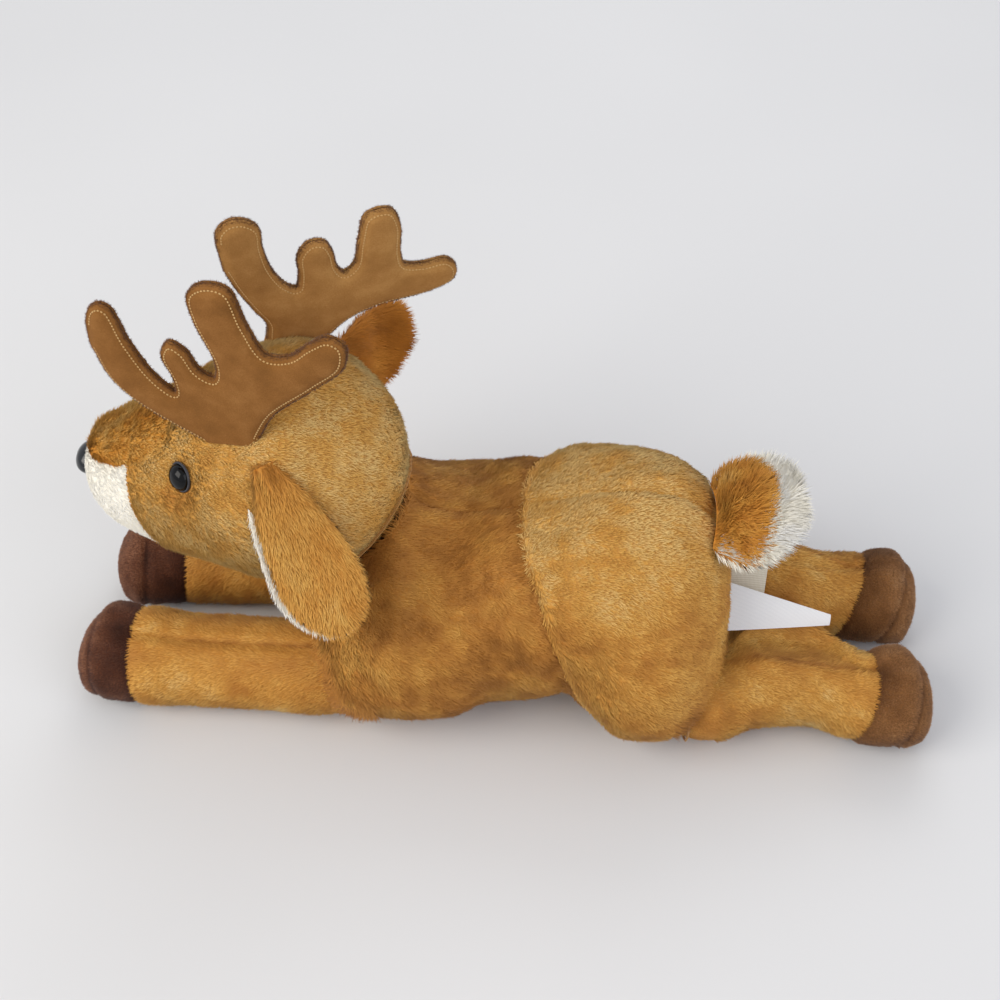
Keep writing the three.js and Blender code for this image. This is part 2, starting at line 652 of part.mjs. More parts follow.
// Ears: an outer leaf and a lining leaf, cupped along the ear
const headClear = headForm(-seatGap, headSides, ballRings, snoutRings);
function ear(side, pose, faceShares, flap) {
  const root = new THREE.Vector3(headX + pose.rootX, pose.rootY, headZ + pose.rootZ);
  const along = new THREE.Vector3(headX + pose.tipX, pose.tipY, headZ + pose.tipZ).sub(root);
  const length = along.length();
  along.normalize();
  const face = new THREE.Vector3(...faceShares);
  face.addScaledVector(along, -face.dot(along)).normalize();
  const across = face.clone().cross(along).normalize();
  const where = new THREE.Matrix4().makeBasis(along, across, face).setPosition(root);
  const sweep = matrix(move(root.x, root.y, root.z), turn(across, -flap), move(-root.x, -root.y, -root.z));
  const room = headClear.add(placed(headClear, sweep));
  const leaf = (upper, under) => leafSolid(
    earShares,
    { length, width: earWidth, upper, under, cup: earCup },
    earSteps,
    earSides,
  );
  const outer = leaf(earThickness, 0);
  const lining = leaf(0, liningThickness);
  add(`ear_${side}`, placed(outer, where).subtract(room), pile(side === 'left' ? tan : deepTan));
  add(`ear_lining_${side}`, placed(lining, where).subtract(room), pile(cream));
}
ear('left', earLeft, earLeftFaceShares, earLeftFlap);
ear('right', earRight, earRightFaceShares, earRightFlap);

// Antlers: a padding layer between two suede layers, each cut from its outline
const antlerHead = headForm(-antlerClearance, headSides, ballRings, snoutRings);
function inset(outline, margin) {
  return outline.map(([x, y], i) => {
    const [px, py] = outline[(i + outline.length - 1) % outline.length];
    const [nx, ny] = outline[(i + 1) % outline.length];
    const run = Math.hypot(nx - px, ny - py);
    const inwards = margin * winding(outline);
    return [x - ((ny - py) / run) * inwards, y + ((nx - px) / run) * inwards];
  });
}
function winding(outline) {
  return Math.sign(outline.reduce((sum, [x, y], i) => {
    const [nx, ny] = outline[(i + 1) % outline.length];
    return sum + x * ny - nx * y;
  }, 0));
}
function layer(outline, low, high) {
  const shape = new THREE.Shape(outline.map(([x, y]) => new THREE.Vector2(x, y)));
  const slab = new THREE.ExtrudeGeometry(shape, { depth: high - low, bevelEnabled: false });
  return placed(solidOf(slab), move(0, 0, low));
}
function antler(side, pose, tines, heel) {
  const scaled = (shares) => {
    const points = shares.map(([x, y]) => new THREE.Vector3(x * antlerSpan, y * antlerHeight, 0));
    const curve = new THREE.CatmullRomCurve3(points, false, 'centripetal');
    return curve.getPoints((points.length - 1) * antlerCurveSteps).map(({ x, y }) => [x, y]);
  };
  const top = scaled(tines);
  const bottom = scaled(heel);
  const heelX = bottom[0][0];
  const lastX = top[top.length - 1][0];
  const outline = [...top, [lastX, -antlerRootDepth], [heelX, -antlerRootDepth], ...bottom];
  const where = matrix(
    move(headX + pose.x, pose.y, headZ + pose.z),
    turn(Z, pose.turnDegrees),
    turn(Y, pose.leanDegrees),
    turn(X, pose.tiltDegrees),
  );
  const half = paddingThickness / 2;
  const low = half + layerGap;
  const high = low + suedeThickness;
  const cut = (solid) => placed(solid, where).subtract(antlerHead);
  add(`antler_front_${side}`, cut(layer(outline, low, high)), pile(suede));
  add(`antler_padding_${side}`, cut(layer(inset(outline, paddingMargin), -half, half)), pile(paddingColour));
  add(`antler_back_${side}`, cut(layer(outline, -high, -low)), pile(suede));
}
antler('left', antlerLeft, antlerLeftShares, antlerLeftHeelShares);
antler('right', antlerRight, antlerRightShares, antlerRightHeelShares);

// Front and hind legs with their hooves
function leg(name, side, { where, length, hoofShare, hoofTiltDegrees }, table, hoofColour) {
  const form = placed(legForm(table, length), where).subtract(ground);
  const seam = matrix(where, move(hoofShare * length, 0, 0), turn(Y, hoofTiltDegrees));
  const upperPart = placed(box(-farCut, -seamGap / 2, -farCut, farCut, -farCut, farCut), seam);
  const hoofPart = placed(box(seamGap / 2, farCut, -farCut, farCut, -farCut, farCut), seam);
  add(`${name}_leg_${side}`, form.intersect(upperPart), pile(tan));
  add(`${name}_hoof_${side}`, form.intersect(hoofPart), pile(hoofColour));
  add(`${name}_seam_thread_${side}`, rootThread(legRadius, -legCreaseShare, where), pile(deepTan));
}
leg('front', 'left', frontLeftPlace, frontLegShares, darkMinky);
leg('front', 'right', frontRightPlace, frontLegShares, darkMinky);
leg('hind', 'left', hindLeftPlace, hindLegShares, brownMinky);
leg('hind', 'right', hindRightPlace, hindLegShares, brownMinky);

// Tail: a tan upper layer on a white underside
const bodyClear = bodyForm(-seatGap, bodyRings, bodySides);
const tailRootX = bodyFront + bodyLength - tailRootInset;
const tailPlace = matrix(move(tailRootX, 0, tailRootZ), turn(Y, -tailTilt));
const tailSweep = matrix(move(tailRootX, 0, tailRootZ), turn(Y, tailUp), move(-tailRootX, 0, -tailRootZ));
const tailLayer = (length, upper, under) => placed(
  leafSolid(tailShares, { length, width: tailWidth, upper, under }, tailSteps, tailSides),
  tailPlace,
).subtract(bodyClear).subtract(placed(bodyClear, tailSweep));
add('tail_top', tailLayer(tailTopLength, tailTopThickness, 0), pile(deepTan));
add('tail_underside', tailLayer(tailUnderLength, 0, tailUnderThickness), pile(cream));

// Labels sewn into the seam under the tail
function label(name, sizes, colour) {
  const { inset: start, y, z, length, width, tipWidth } = sizes;
  const outline = [[0, -width / 2], [length, -tipWidth / 2], [length, tipWidth / 2], [0, width / 2]];
  const where = matrix(
    move(bodyFront + bodyLength - start, y, z),
    turn(Z, sizes.turnDegrees),
    turn(Y, sizes.dropDegrees),
    turn(X, sizes.rollDegrees),
  );
  const ribbon = placed(layer(outline, -labelThickness / 2, labelThickness / 2), where);
  add(name, ribbon.subtract(bodyClear), pile(colour));
}
label('care_label', careLabel, careCloth);
label('flag_label', flagLabel, satin);

// The middle of the deer's box stands over the origin.
const middle = new THREE.Box3().setFromObject(deer, true).getCenter(new THREE.Vector3());
deer.position.set(-middle.x, -middle.y, 0);

export default deer;
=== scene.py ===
"""Dresses the plush deer: stuffed pile panels, suede antlers, plastic eyes and nose, bare labels.

Sizes are millimetres and become metres where a mesh is placed. The head points to -X,
the deer's left side is -Y and up is +Z.
"""

import logging
import math
from dataclasses import dataclass, replace
from enum import Enum
from functools import lru_cache
from typing import Callable, Optional, Sequence

import bmesh
import bpy
import numpy as np
from mathutils import Matrix, Vector


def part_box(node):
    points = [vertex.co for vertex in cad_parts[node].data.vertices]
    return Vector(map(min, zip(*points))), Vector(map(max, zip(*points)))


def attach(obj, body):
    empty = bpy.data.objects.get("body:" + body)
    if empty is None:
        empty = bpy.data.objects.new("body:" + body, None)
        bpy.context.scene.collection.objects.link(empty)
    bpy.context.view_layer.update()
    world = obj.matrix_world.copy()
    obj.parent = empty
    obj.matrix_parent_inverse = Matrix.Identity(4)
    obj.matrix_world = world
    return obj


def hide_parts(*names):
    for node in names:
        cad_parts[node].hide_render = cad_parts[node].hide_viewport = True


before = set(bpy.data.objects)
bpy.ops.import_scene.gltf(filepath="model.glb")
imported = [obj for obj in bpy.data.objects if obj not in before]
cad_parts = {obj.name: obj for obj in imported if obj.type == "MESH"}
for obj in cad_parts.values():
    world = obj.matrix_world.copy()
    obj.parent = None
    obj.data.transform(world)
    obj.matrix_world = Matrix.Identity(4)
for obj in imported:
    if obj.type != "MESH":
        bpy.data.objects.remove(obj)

LOG = logging.getLogger("plush_deer")
MM = 0.001
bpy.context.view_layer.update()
# The map that colours the fibres and the attribute that colours the cloth under them.
BAKE_MAP = "OFBake"
TONE = "tone"
# Material index of a panel's two sides.
OUTSIDE, INSIDE = 0, 1
# Reach of a cutting tool, past every side of the deer.
FAR = 400.0
# Points round and along the sphere that a form starts from: a leaf or what it is cut by, a ball
# or the nose, and the unseen inside of a shell.
FINE_GRID = (64, 48)
BALL_GRID = (48, 32)
INNER_GRID = (32, 24)
SEED = 4107
# Cells on each side of a noise lattice.
LATTICE = 32
# A vertex this near the end of a form is its pole.
POLE = 1e-6

Points = np.ndarray
Piece = bpy.types.Object
Rule = Callable[[np.ndarray, np.ndarray], Points]


def midline() -> float:
    """Sideways place of the mirror plane, in millimetres, from the frame's pair of eyes."""
    return (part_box("eye_left")[0].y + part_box("eye_right")[1].y) / 2 / MM


MIDDLE = midline()


# Finishes


def linear(code: str) -> tuple[float, float, float, float]:
    """Turns an sRGB colour into Blender's linear one.

    Args:
        code: Hex code such as #a0b0c0.

    Returns:
        Red, green, blue and an alpha of one.
    """
    parts = [int(code[i : i + 2], 16) / 255 for i in (1, 3, 5)]
    curve = [c / 12.92 if c <= 0.04045 else ((c + 0.055) / 1.055) ** 2.4 for c in parts]
    return curve[0], curve[1], curve[2], 1.0


def per_mm(size: float) -> float:
    """Texture scale whose features are about so many millimetres across."""
    return 1 / (size * MM)


def add_node(tree: bpy.types.NodeTree, kind: str, settings: dict) -> bpy.types.Node:
    """Adds one node with its settings and its incoming links.

    Args:
        tree: The node tree.
        kind: The node's type name.
        settings: Node attributes, or input values and sockets where the key is an input's name
            or number. The key stops holds a colour ramp's places and hex colours.

    Returns:
        The new node.
    """
    made = tree.nodes.new(kind)
    for key, value in settings.items():
        if key == "stops":
            band = made.color_ramp
            while len(band.elements) < len(value):
                band.elements.new(1.0)
            for element, (place, code) in zip(band.elements, value):
                element.position, element.color = place, linear(code)
        elif isinstance(value, bpy.types.NodeSocket):
            tree.links.new(value, made.inputs[key])
        elif isinstance(key, int) or (key in made.inputs and not hasattr(made, key)):
            made.inputs[key].default_value = value
        else:
            setattr(made, key, value)
    return made


@dataclass(frozen=True)
class Finish:
    """One finish, by name.

    Args:
        name: The material's name.
    """

    name: str

    def paint(self, tree: bpy.types.NodeTree, place: bpy.types.NodeSocket) -> dict:
        """Adds the finish's nodes.

        Args:
            tree: The material's tree.
            place: Object coordinates, in metres.

        Returns:
            Values and sockets for the principled shader.
        """
        raise NotImplementedError


@lru_cache(maxsize=None)
def material_of(finish: Finish) -> bpy.types.Material:
    """Makes a material once.

    Args:
        finish: Its finish.

    Returns:
        The material.
    """
    made = bpy.data.materials.new(finish.name)
    made.use_nodes = True
    tree = made.node_tree
    tree.nodes.clear()
    place = add_node(tree, "ShaderNodeTexCoord", {}).outputs["Object"]
    shader = add_node(tree, "ShaderNodeBsdfPrincipled", finish.paint(tree, place))
    add_node(tree, "ShaderNodeOutputMaterial", {0: shader.outputs[0]})
    return made


@dataclass(frozen=True)
class PileCloth(Finish):
    """Knitted polyester pile: soft cut fibres, deep in shade between them and pale at their tips.

    Args:
        shades: Hex colours of the tips, from the darkest to the palest, over tones from 0 to 1.
        root: Hex colour down between the fibres, where little light reaches.
        sheen: Share of soft light at grazing angles.
        standing: Whether this is the fibres, and not the cloth that they stand on.
    """

    shades: tuple[str, ...]
    root: str
    sheen: float = 0.03
    standing: bool = False

    def fibres(self) -> "PileCloth":
        """The finish of the standing fibres."""
        return replace(self, name=f"{self.name}_fibres", standing=True)

    def paint(self, tree: bpy.types.NodeTree, place: bpy.types.NodeSocket) -> dict:
        """Colours fibres by tone and height on their map, and the ground by noise and tone."""
        stops = [(i / (len(self.shades) - 1), code) for i, code in enumerate(self.shades)]
        ramp, mix = "ShaderNodeValToRGB", "ShaderNodeMix"
        if self.standing:
            where = add_node(tree, "ShaderNodeUVMap", {"uv_map": BAKE_MAP}).outputs[0]
            split = add_node(tree, "ShaderNodeSeparateXYZ", {0: where}).outputs
            tips = add_node(tree, ramp, {0: split["X"], "stops": stops}).outputs[0]
            climb = ((0.0, "#000000"), (0.35, "#9a9a9a"), (0.8, "#ffffff"))
            height = add_node(tree, ramp, {0: split["Y"], "stops": climb}).outputs[0]
            colour = add_node(
                tree, mix, {"data_type": "RGBA", 0: height, 6: linear(self.root), 7: tips}
            )
            return {
                "Base Color": colour.outputs[2],
                "Roughness": 0.65,
                "Specular IOR Level": 0.22,
                "Sheen Weight": self.sheen,
                "Sheen Roughness": 0.5,
            }
        tone = add_node(tree, "ShaderNodeAttribute", {"attribute_name": TONE}).outputs["Fac"]
        # Fibre roots stand about 0.8 mm apart.
        noise = {0: place, "Scale": per_mm(0.8), "Detail": 3.0, "Roughness": 0.6}
        fine = add_node(tree, "ShaderNodeTexNoise", noise).outputs[0]
        low = add_node(tree, "ShaderNodeMath", {"operation": "SUBTRACT", 0: tone, 1: 0.42})
        mottle = add_node(
            tree,
            "ShaderNodeMath",
            {"operation": "MULTIPLY_ADD", 0: fine, 1: 0.55, 2: low.outputs[0]},
        ).outputs[0]
        tips = add_node(tree, ramp, {0: mottle, "stops": stops}).outputs[0]
        colour = add_node(tree, mix, {"data_type": "RGBA", 0: 0.45, 6: tips, 7: linear(self.root)})
        bump = add_node(
            tree, "ShaderNodeBump", {"Strength": 0.5, "Distance": 0.6 * MM, "Height": fine}
        )
        return {
            "Base Color": colour.outputs[2],
            "Normal": bump.outputs[0],
            "Roughness": 0.9,
            "Specular IOR Level": 0.2,
            "Sheen Weight": self.sheen,
        }


@dataclass(frozen=True)
class WovenCloth(Finish):
    """Plain woven cloth or laid thread: crests of fine thread with dark gaps.

    Args:
        pale: Hex colour of the crests.
        deep: Hex colour of the gaps.
        thread: Thread spacing in millimetres.
        roughness: Roughness of the thread.
        sheen: Share of soft light at grazing angles.
    """

    pale: str
    deep: str
    thread: float
    roughness: float = 0.8
    sheen: float = 0.1

    def paint(self, tree: bpy.types.NodeTree, place: bpy.types.NodeSocket) -> dict:
        """Crosses two waves, one along each thread direction."""
        waves = []
        for direction in ("X", "Z"):
            # A wave texture of scale 1 has one band in 0.314 units.
            scale = 0.314 * per_mm(self.thread)
            wave = {0: place, "bands_direction": direction, "Scale": scale, "Distortion": 0.6}
            waves.append(add_node(tree, "ShaderNodeTexWave", wave).outputs["Fac"])
        crossed = add_node(
            tree, "ShaderNodeMath", {"operation": "MULTIPLY", 0: waves[0], 1: waves[1]}
        ).outputs[0]
        stops = ((0.0, self.deep), (0.6, self.pale))
        colour = add_node(tree, "ShaderNodeValToRGB", {0: crossed, "stops": stops})
        bump = add_node(
            tree, "ShaderNodeBump", {"Strength": 0.4, "Distance": 0.15 * MM, "Height": crossed}
        )
        return {
            "Base Color": colour.outputs[0],
            "Normal": bump.outputs[0],
            "Roughness": self.roughness,
            "Sheen Weight": self.sheen,
        }


@dataclass(frozen=True)
class Mottled(Finish):
    """A finish of fine grain under broad clouds: brushed suede, moulded plastic or wadding.

    Args:
        shades: Dark, middle and pale hex colours.
        grain: Size of the grain in millimetres, which also makes the bump.
        cloud: Size of the clouds in millimetres.
        relief: Height of the bump in millimetres.
        roughness: Roughness of the surface.
        coat: Weight of a clear gloss layer.
        specular: Specular level, where 0.5 is a plain plastic.
    """

    shades: tuple[str, str, str]
    grain: float
    cloud: float
    relief: float
    roughness: float
    coat: float = 0.0
    specular: float = 0.5

    def paint(self, tree: bpy.types.NodeTree, place: bpy.types.NodeSocket) -> dict:
        """Adds grain to clouds and colours their sum."""
        kind = "ShaderNodeTexNoise"
        fine = {0: place, "Scale": per_mm(self.grain), "Detail": 4.0, "Roughness": 0.65}
        broad = {0: place, "Scale": per_mm(self.cloud), "Detail": 3.0, "Roughness": 0.5}
        grain = add_node(tree, kind, fine).outputs[0]
        clouds = add_node(tree, kind, broad).outputs[0]
        total = add_node(tree, "ShaderNodeMath", {"operation": "ADD", 0: grain, 1: clouds})
        half = {"operation": "MULTIPLY", 0: total.outputs[0], 1: 0.5}
        half = add_node(tree, "ShaderNodeMath", half).outputs[0]
        stops = tuple(zip((0.30, 0.5, 0.70), self.shades))
        colour = add_node(tree, "ShaderNodeValToRGB", {0: half, "stops": stops})
        bump = add_node(
            tree, "ShaderNodeBump", {"Strength": 0.5, "Distance": self.relief * MM, "Height": grain}
        )
        return {
            "Base Color": colour.outputs[0],
            "Normal": bump.outputs[0],
            "Roughness": self.roughness,
            "Specular IOR Level": self.specular,
            "Coat Weight": self.coat,
            "Coat Roughness": 0.04,
        }


# Long-staple pile of the body and head: golden, with pale cut tips.
GOLDEN = PileCloth(
    "golden_polyester_pile", ("#8f581e", "#bd7f37", "#dca14a", "#efba5f", "#f9d68a"), "#b97e38"
)
# The same pile dyed deeper, on the bridge of the nose and the tail; on the far ear it is painted
# shade.
DEEP = PileCloth(
    "deep_tan_polyester_pile", ("#935815", "#c27a28", "#dd9639", "#ecad4c", "#f8c870"), "#b57327"
)
# Pile of the near ear: combed, orange tan.
ORANGE = PileCloth(
    "orange_tan_polyester_pile", ("#9a5f1c", "#c68432", "#e2a34a", "#f1bd62", "#fad98e"), "#be8037"
)
# Undyed pile of the muzzle and the ear linings.
CREAM = PileCloth(
    "cream_polyester_pile", ("#f3ebd3", "#fbf6e6", "#fffcf2", "#fffdf7", "#fffefb"), "#f7f0dc"
)
# Bleached long pile under the tail.
WHITE = PileCloth(
    "white_polyester_pile", ("#fbf2d8", "#fef8e4", "#fffaea", "#fffcf2", "#fffefa"), "#fdf5e0"
)
# Minky plush of the hooves: very short and dense, so that it looks like velvet.
DARK_HOOF = PileCloth(
    "dark_minky_plush", ("#2f170c", "#472615", "#5f3520", "#76462c", "#9a6648"), "#36190f", 0.08
)
BROWN_HOOF = PileCloth(
    "brown_minky_plush", ("#54321a", "#7c502a", "#9c6a3d", "#b37e4c", "#cd9c6c"), "#63401f", 0.08
)
# Microfibre suede: a very short brushed nap, matt, clouded where a hand has stroked it.
SUEDE = Mottled(
    "antler_microsuede",
    shades=("#6f481e", "#855829", "#9b6d3b"),
    grain=0.35, cloud=9, relief=0.2, roughness=0.93, specular=0.2,
)
# The same suede painted paler for the far antler: painted light, as on a face that catches the
# lamps.
LIT_SUEDE = replace(SUEDE, name="stroked_microsuede", shades=("#8f6433", "#a87a43", "#bf9256"))
# Its raw cut edge stands in short dark fuzz.
SUEDE_EDGE = PileCloth(
    "antler_suede_raw_edge", ("#4c2b13", "#683f1e", "#80512a", "#946238", "#a9774a"), "#52301a", 0.1
)
STITCH = WovenCloth("pale_gold_topstitch_thread", "#ecc98a", "#b98f50", 0.3, 0.6)
SEAM = WovenCloth("tan_sewing_thread", "#c8924a", "#96692e", 0.3, 0.7)
CARE = WovenCloth("cream_label_cloth", "#f3eddc", "#d8cfb8", 0.5, 0.75)
SATIN = WovenCloth("white_satin_ribbon", "#fbfbfa", "#e3e4e6", 0.35, 0.38, 0.3)
# Moulded acrylic and polypropylene: a smooth skin with faint flow marks under its gloss.
EYE = Mottled(
    "black_acrylic_eye",
    shades=("#040405", "#060608", "#0a0a0c"),
    grain=0.2, cloud=3, relief=0.003, roughness=0.12, coat=0.05, specular=0.2,
)
EYE_RIM = Mottled(
    "grey_eye_rim",
    shades=("#303237", "#3d3f45", "#4c4e55"),
    grain=0.2, cloud=3, relief=0.005, roughness=0.4, specular=0.3,
)
NOSE = Mottled(
    "charcoal_gloss_nose",
    shades=("#0c0d10", "#121418", "#1c1e23"),
    grain=0.2, cloud=3, relief=0.01, roughness=0.2, coat=0.3, specular=0.35,
)
WASHER = Mottled(
    "natural_polypropylene_washer",
    shades=("#dadad4", "#e4e4de", "#efefea"),
    grain=0.2, cloud=3, relief=0.01, roughness=0.4,
)
# Loose polyester filling and felted wadding: crimped fibre in soft clumps. The filling is tinted
# tan as painted shade, in place of its white, so that the narrow gaps that show it read as cloth in
# shade.
TAN_SHADED_FILLING = Mottled(
    "beige_polyester_filling",
    shades=("#a37a45", "#b48c56", "#c69f69"),
    grain=1.5, cloud=4, relief=0.8, roughness=0.95,
)
ANTLER_WADDING = Mottled(
    "beige_felted_wadding",
    shades=("#a98f68", "#c2ac86", "#d8c7a6"),
    grain=0.6, cloud=3, relief=0.4, roughness=0.95,
)


# Geometry helpers


def table_at(rows: Sequence[Sequence[float]], share: np.ndarray, rounded: bool) -> np.ndarray:
    """Values of a table of shares between its rows, without overshoot.

    Args:
        rows: Rows that start with their place, in rising order.
        share: Places to look up.
        rounded: Whether places are compared by angle, so that the ends come out round.

    Returns:
        One row of values for each place, without the place itself.
    """
    table = np.asarray(rows, float)

    def place(s: np.ndarray) -> np.ndarray:
        """A share as the place that it is compared by."""
        return np.arccos(np.clip(1 - 2 * s, -1, 1)) if rounded else s

    x, y = place(table[:, 0]), table[:, 1:]
    t = np.clip(place(np.asarray(share, float)), x[0], x[-1])
    step = np.diff(x)[:, None]
    secant = np.diff(y, axis=0) / step
    slope = np.zeros_like(y)
    slope[0], slope[-1] = secant[0], secant[-1]
    product, total = secant[:-1] * secant[1:], secant[:-1] + secant[1:]
    slope[1:-1] = np.where(product > 0, 2 * product / np.where(total == 0, 1, total), 0)
    i = np.clip(np.searchsorted(x, t, side="right") - 1, 0, len(x) - 2)
    h = step[i]
    u = ((t - x[i]) / h[:, 0])[:, None]
    level = y[i] * (1 + 2 * u) * (1 - u) ** 2 + y[i + 1] * u * u * (3 - 2 * u)
    return level + h * slope[i] * u * (1 - u) ** 2 + h * slope[i + 1] * u * u * (u - 1)


@lru_cache(maxsize=None)
def lattice(seed: int) -> np.ndarray:
    """A cube of seeded random numbers from -0.5 to 0.5."""
    return np.random.default_rng(SEED + seed).random((LATTICE, LATTICE, LATTICE)) - 0.5


def eased(share: np.ndarray) -> np.ndarray:
    """A share from 0 to 1 that starts and ends gently."""
    return share * share * (3 - 2 * share)


def cloud(points: Points, cell: float, seed: int) -> np.ndarray:
    """Smooth seeded noise.

    Args:
        points: Where it is looked up.
        cell: Width of its cells.
        seed: Seed of its lattice.

    Returns:
        A value from -0.5 to 0.5 for each point.
    """
    p = points / cell
    base = np.floor(p).astype(int)
    f = eased(p - base)
    total = np.zeros(len(points))
    for corner in range(8):
        d = np.array([(corner >> k) & 1 for k in range(3)])
        i, j, k = ((base + d) % LATTICE).T
        total += np.prod(np.where(d, f, 1 - f), axis=1) * lattice(seed)[i, j, k]
    return total


def drift(points: Points, cell: float, seed: int) -> Points:
    """Smooth seeded vectors."""
    return np.stack([cloud(points, cell, seed + k) for k in range(3)], axis=1)


def unit(vectors: Points) -> Points:
    """The vectors at length one."""
    return vectors / np.maximum(np.linalg.norm(vectors, axis=1, keepdims=True), 1e-12)


def falloff(distance: np.ndarray, width: float) -> np.ndarray:
    """One at distance 0, falling smoothly to nothing at the width."""
    return eased(np.clip(1 - np.abs(distance) / width, 0, 1))


def rise(value: np.ndarray, low: float, high: float) -> np.ndarray:
    """Nothing up to the low value, climbing smoothly to one at the high value."""
    return eased(np.clip((value - low) / (high - low), 0, 1))


def at_pole(share: np.ndarray) -> np.ndarray:
    """Which vertices of a form are its two poles."""
    return (share < POLE) | (share > 1 - POLE)


def on_ball(share: np.ndarray) -> tuple[np.ndarray, np.ndarray, np.ndarray]:
    """Splits a form into half a ball behind and a taper in front.

    Args:
        share: Share of the way from pole to pole.

    Returns:
        The angle from the first pole, whether it is on the ball, and the share of the taper.
    """
    polar = share * math.pi
    return polar, polar < math.pi / 2, np.sin(np.clip(polar - math.pi / 2, 0, math.pi / 2))


def line_distance(points: Points, line: Points) -> np.ndarray:
    """Shortest distance from flat points to a line.

    Args:
        points: The points.
        line: The line's own points, in order.

    Returns:
        One distance for each point.
    """
    best = np.full(len(points), np.inf)
    for a, b in zip(line[:-1], line[1:]):
        d = b - a
        t = np.clip(((points - a) @ d) / max(d @ d, 1e-9), 0, 1)
        best = np.minimum(best, np.linalg.norm(points - a - t[:, None] * d, axis=1))
    return best


def through(matrix: Matrix, points: Points) -> Points:
    """The points turned and moved by a matrix."""
    return turned_by(matrix, points) + np.array(matrix)[:3, 3]


def turned_by(matrix: Matrix, ways: Points) -> Points:
    """Directions turned by a matrix."""
    return ways @ np.array(matrix)[:3, :3].T


def seen_from(matrix: Matrix, points: Points) -> Points:
    """The points in the frame that a matrix places."""
    return through(matrix.inverted(), points)


def frame_at(place: Sequence[float], turns: Sequence[float]) -> Matrix:
    """A frame at a place, turned about X, then Y, then Z.

    Args:
        place: Its origin.
        turns: The turns about Z, Y and X in degrees.

    Returns:
        The frame.
    """
    z, y, x = (Matrix.Rotation(math.radians(turn), 4, axis) for turn, axis in zip(turns, "ZYX"))
    return Matrix.Translation(place) @ (z @ y) @ x


def swung(pivot: Vector, degrees: float, axis: Vector | str) -> Matrix:
    """A turn about an axis through a pivot."""
    turn = Matrix.Rotation(math.radians(degrees), 4, axis)
    return Matrix.Translation(pivot) @ turn @ Matrix.Translation(-pivot)


def places_of(mesh: bpy.types.Mesh) -> Points:
    """Reads a mesh.

    Args:
        mesh: The mesh.

    Returns:
        Its vertices in millimetres.
    """
    places = np.empty(len(mesh.vertices) * 3)
    mesh.vertices.foreach_get("co", places)
    return places.reshape(-1, 3) / MM


def reshape(piece: Piece, rule: Callable[[Points], Points]) -> Piece:
    """Moves a piece's vertices.

    Args:
        piece: The piece.
        rule: Gives their new places for their old ones, in millimetres.

    Returns:
        The same object.
    """
    places = np.asarray(rule(places_of(piece.data)), float) * MM
    piece.data.vertices.foreach_set("co", places.ravel())
    piece.data.update()
    return piece


def linked(name: str, data: bpy.types.ID) -> Piece:
    """Adds an object for a mesh, a lamp or a camera to the scene."""
    made = bpy.data.objects.new(name, data)
    bpy.context.scene.collection.objects.link(made)
    return made


def object_of(form: bmesh.types.BMesh, name: str) -> Piece:
    """Makes an object with two empty places for materials.

    Args:
        form: The bmesh, which is freed.
        name: The object's name.

    Returns:
        The object.
    """
    mesh = bpy.data.meshes.new(name)
    form.to_mesh(mesh)
    form.free()
    while len(mesh.materials) < 2:
        mesh.materials.append(None)
    return linked(name, mesh)


def drop(*pieces: Piece) -> None:
    """Removes helper objects and their meshes."""
    for piece in pieces:
        bpy.data.meshes.remove(piece.data)


def outward(form: bmesh.types.BMesh, name: str, side: int = OUTSIDE) -> Piece:
    """Turns a closed bmesh into an object with outward, smooth faces.

    Args:
        form: The bmesh, which is freed.
        name: The object's name.
        side: Material index of all faces.

    Returns:
        The object.
    """
    bmesh.ops.recalc_face_normals(form, faces=form.faces)
    if form.calc_volume(signed=True) < 0:
        bmesh.ops.reverse_faces(form, faces=form.faces)
    for face in form.faces:
        face.smooth, face.material_index = True, side
    return object_of(form, name)


def formed(name: str, around: int, along: int, shape: Rule, side: int = OUTSIDE) -> Piece:
    """A closed form from a sphere whose every vertex is placed by a rule.

    Args:
        name: The object's name.
        around: Points round the form.
        along: Steps from pole to pole.
        shape: Gives millimetre places from the share of the way pole to pole and the angle.
        side: Material index of all faces.

    Returns:
        The object.
    """
    form = bmesh.new()
    bmesh.ops.create_uvsphere(form, u_segments=around, v_segments=along, radius=1)
    ball = np.array([v.co for v in form.verts])
    share = np.arccos(np.clip(ball[:, 2], -1, 1)) / math.pi
    angle = np.arctan2(ball[:, 1], ball[:, 0])
    for vertex, place in zip(form.verts, shape(share, angle) * MM):
        vertex.co = place
    return outward(form, name, side)


def ball_tool(name: str, radius: float, centre: Sequence[float]) -> Piece:
    """A round cutting tool.

    Args:
        name: The object's name.
        radius: Its radius.
        centre: Its middle.

    Returns:
        The object.
    """

    def shape(share: np.ndarray, angle: np.ndarray) -> Points:
        """Places vertices on the ball."""
        polar = share * math.pi
        flat = np.sin(polar)
        way = np.stack([flat * np.cos(angle), flat * np.sin(angle), np.cos(polar)], axis=1)
        return np.asarray(centre, float) + radius * way

    return formed(name, *BALL_GRID, shape, INSIDE)


def extruded(form: bmesh.types.BMesh, way: Sequence[float]) -> None:
    """Extrudes every face of a flat bmesh by a way in metres."""
    grown = bmesh.ops.extrude_face_region(form, geom=form.faces[:])["geom"]
    moved = [g for g in grown if isinstance(g, bmesh.types.BMVert)]
    bmesh.ops.translate(form, verts=moved, vec=way)


def slab(name: str, outline: Sequence[tuple[float, float]]) -> Piece:
    """A cutting tool right across the deer.

    Args:
        name: The object's name.
        outline: Its outline in x and z.

    Returns:
        The object.
    """
    form = bmesh.new()
    form.faces.new([form.verts.new((x * MM, -FAR * MM, z * MM)) for x, z in outline])
    extruded(form, (0, 2 * FAR * MM, 0))
    return outward(form, name, INSIDE)


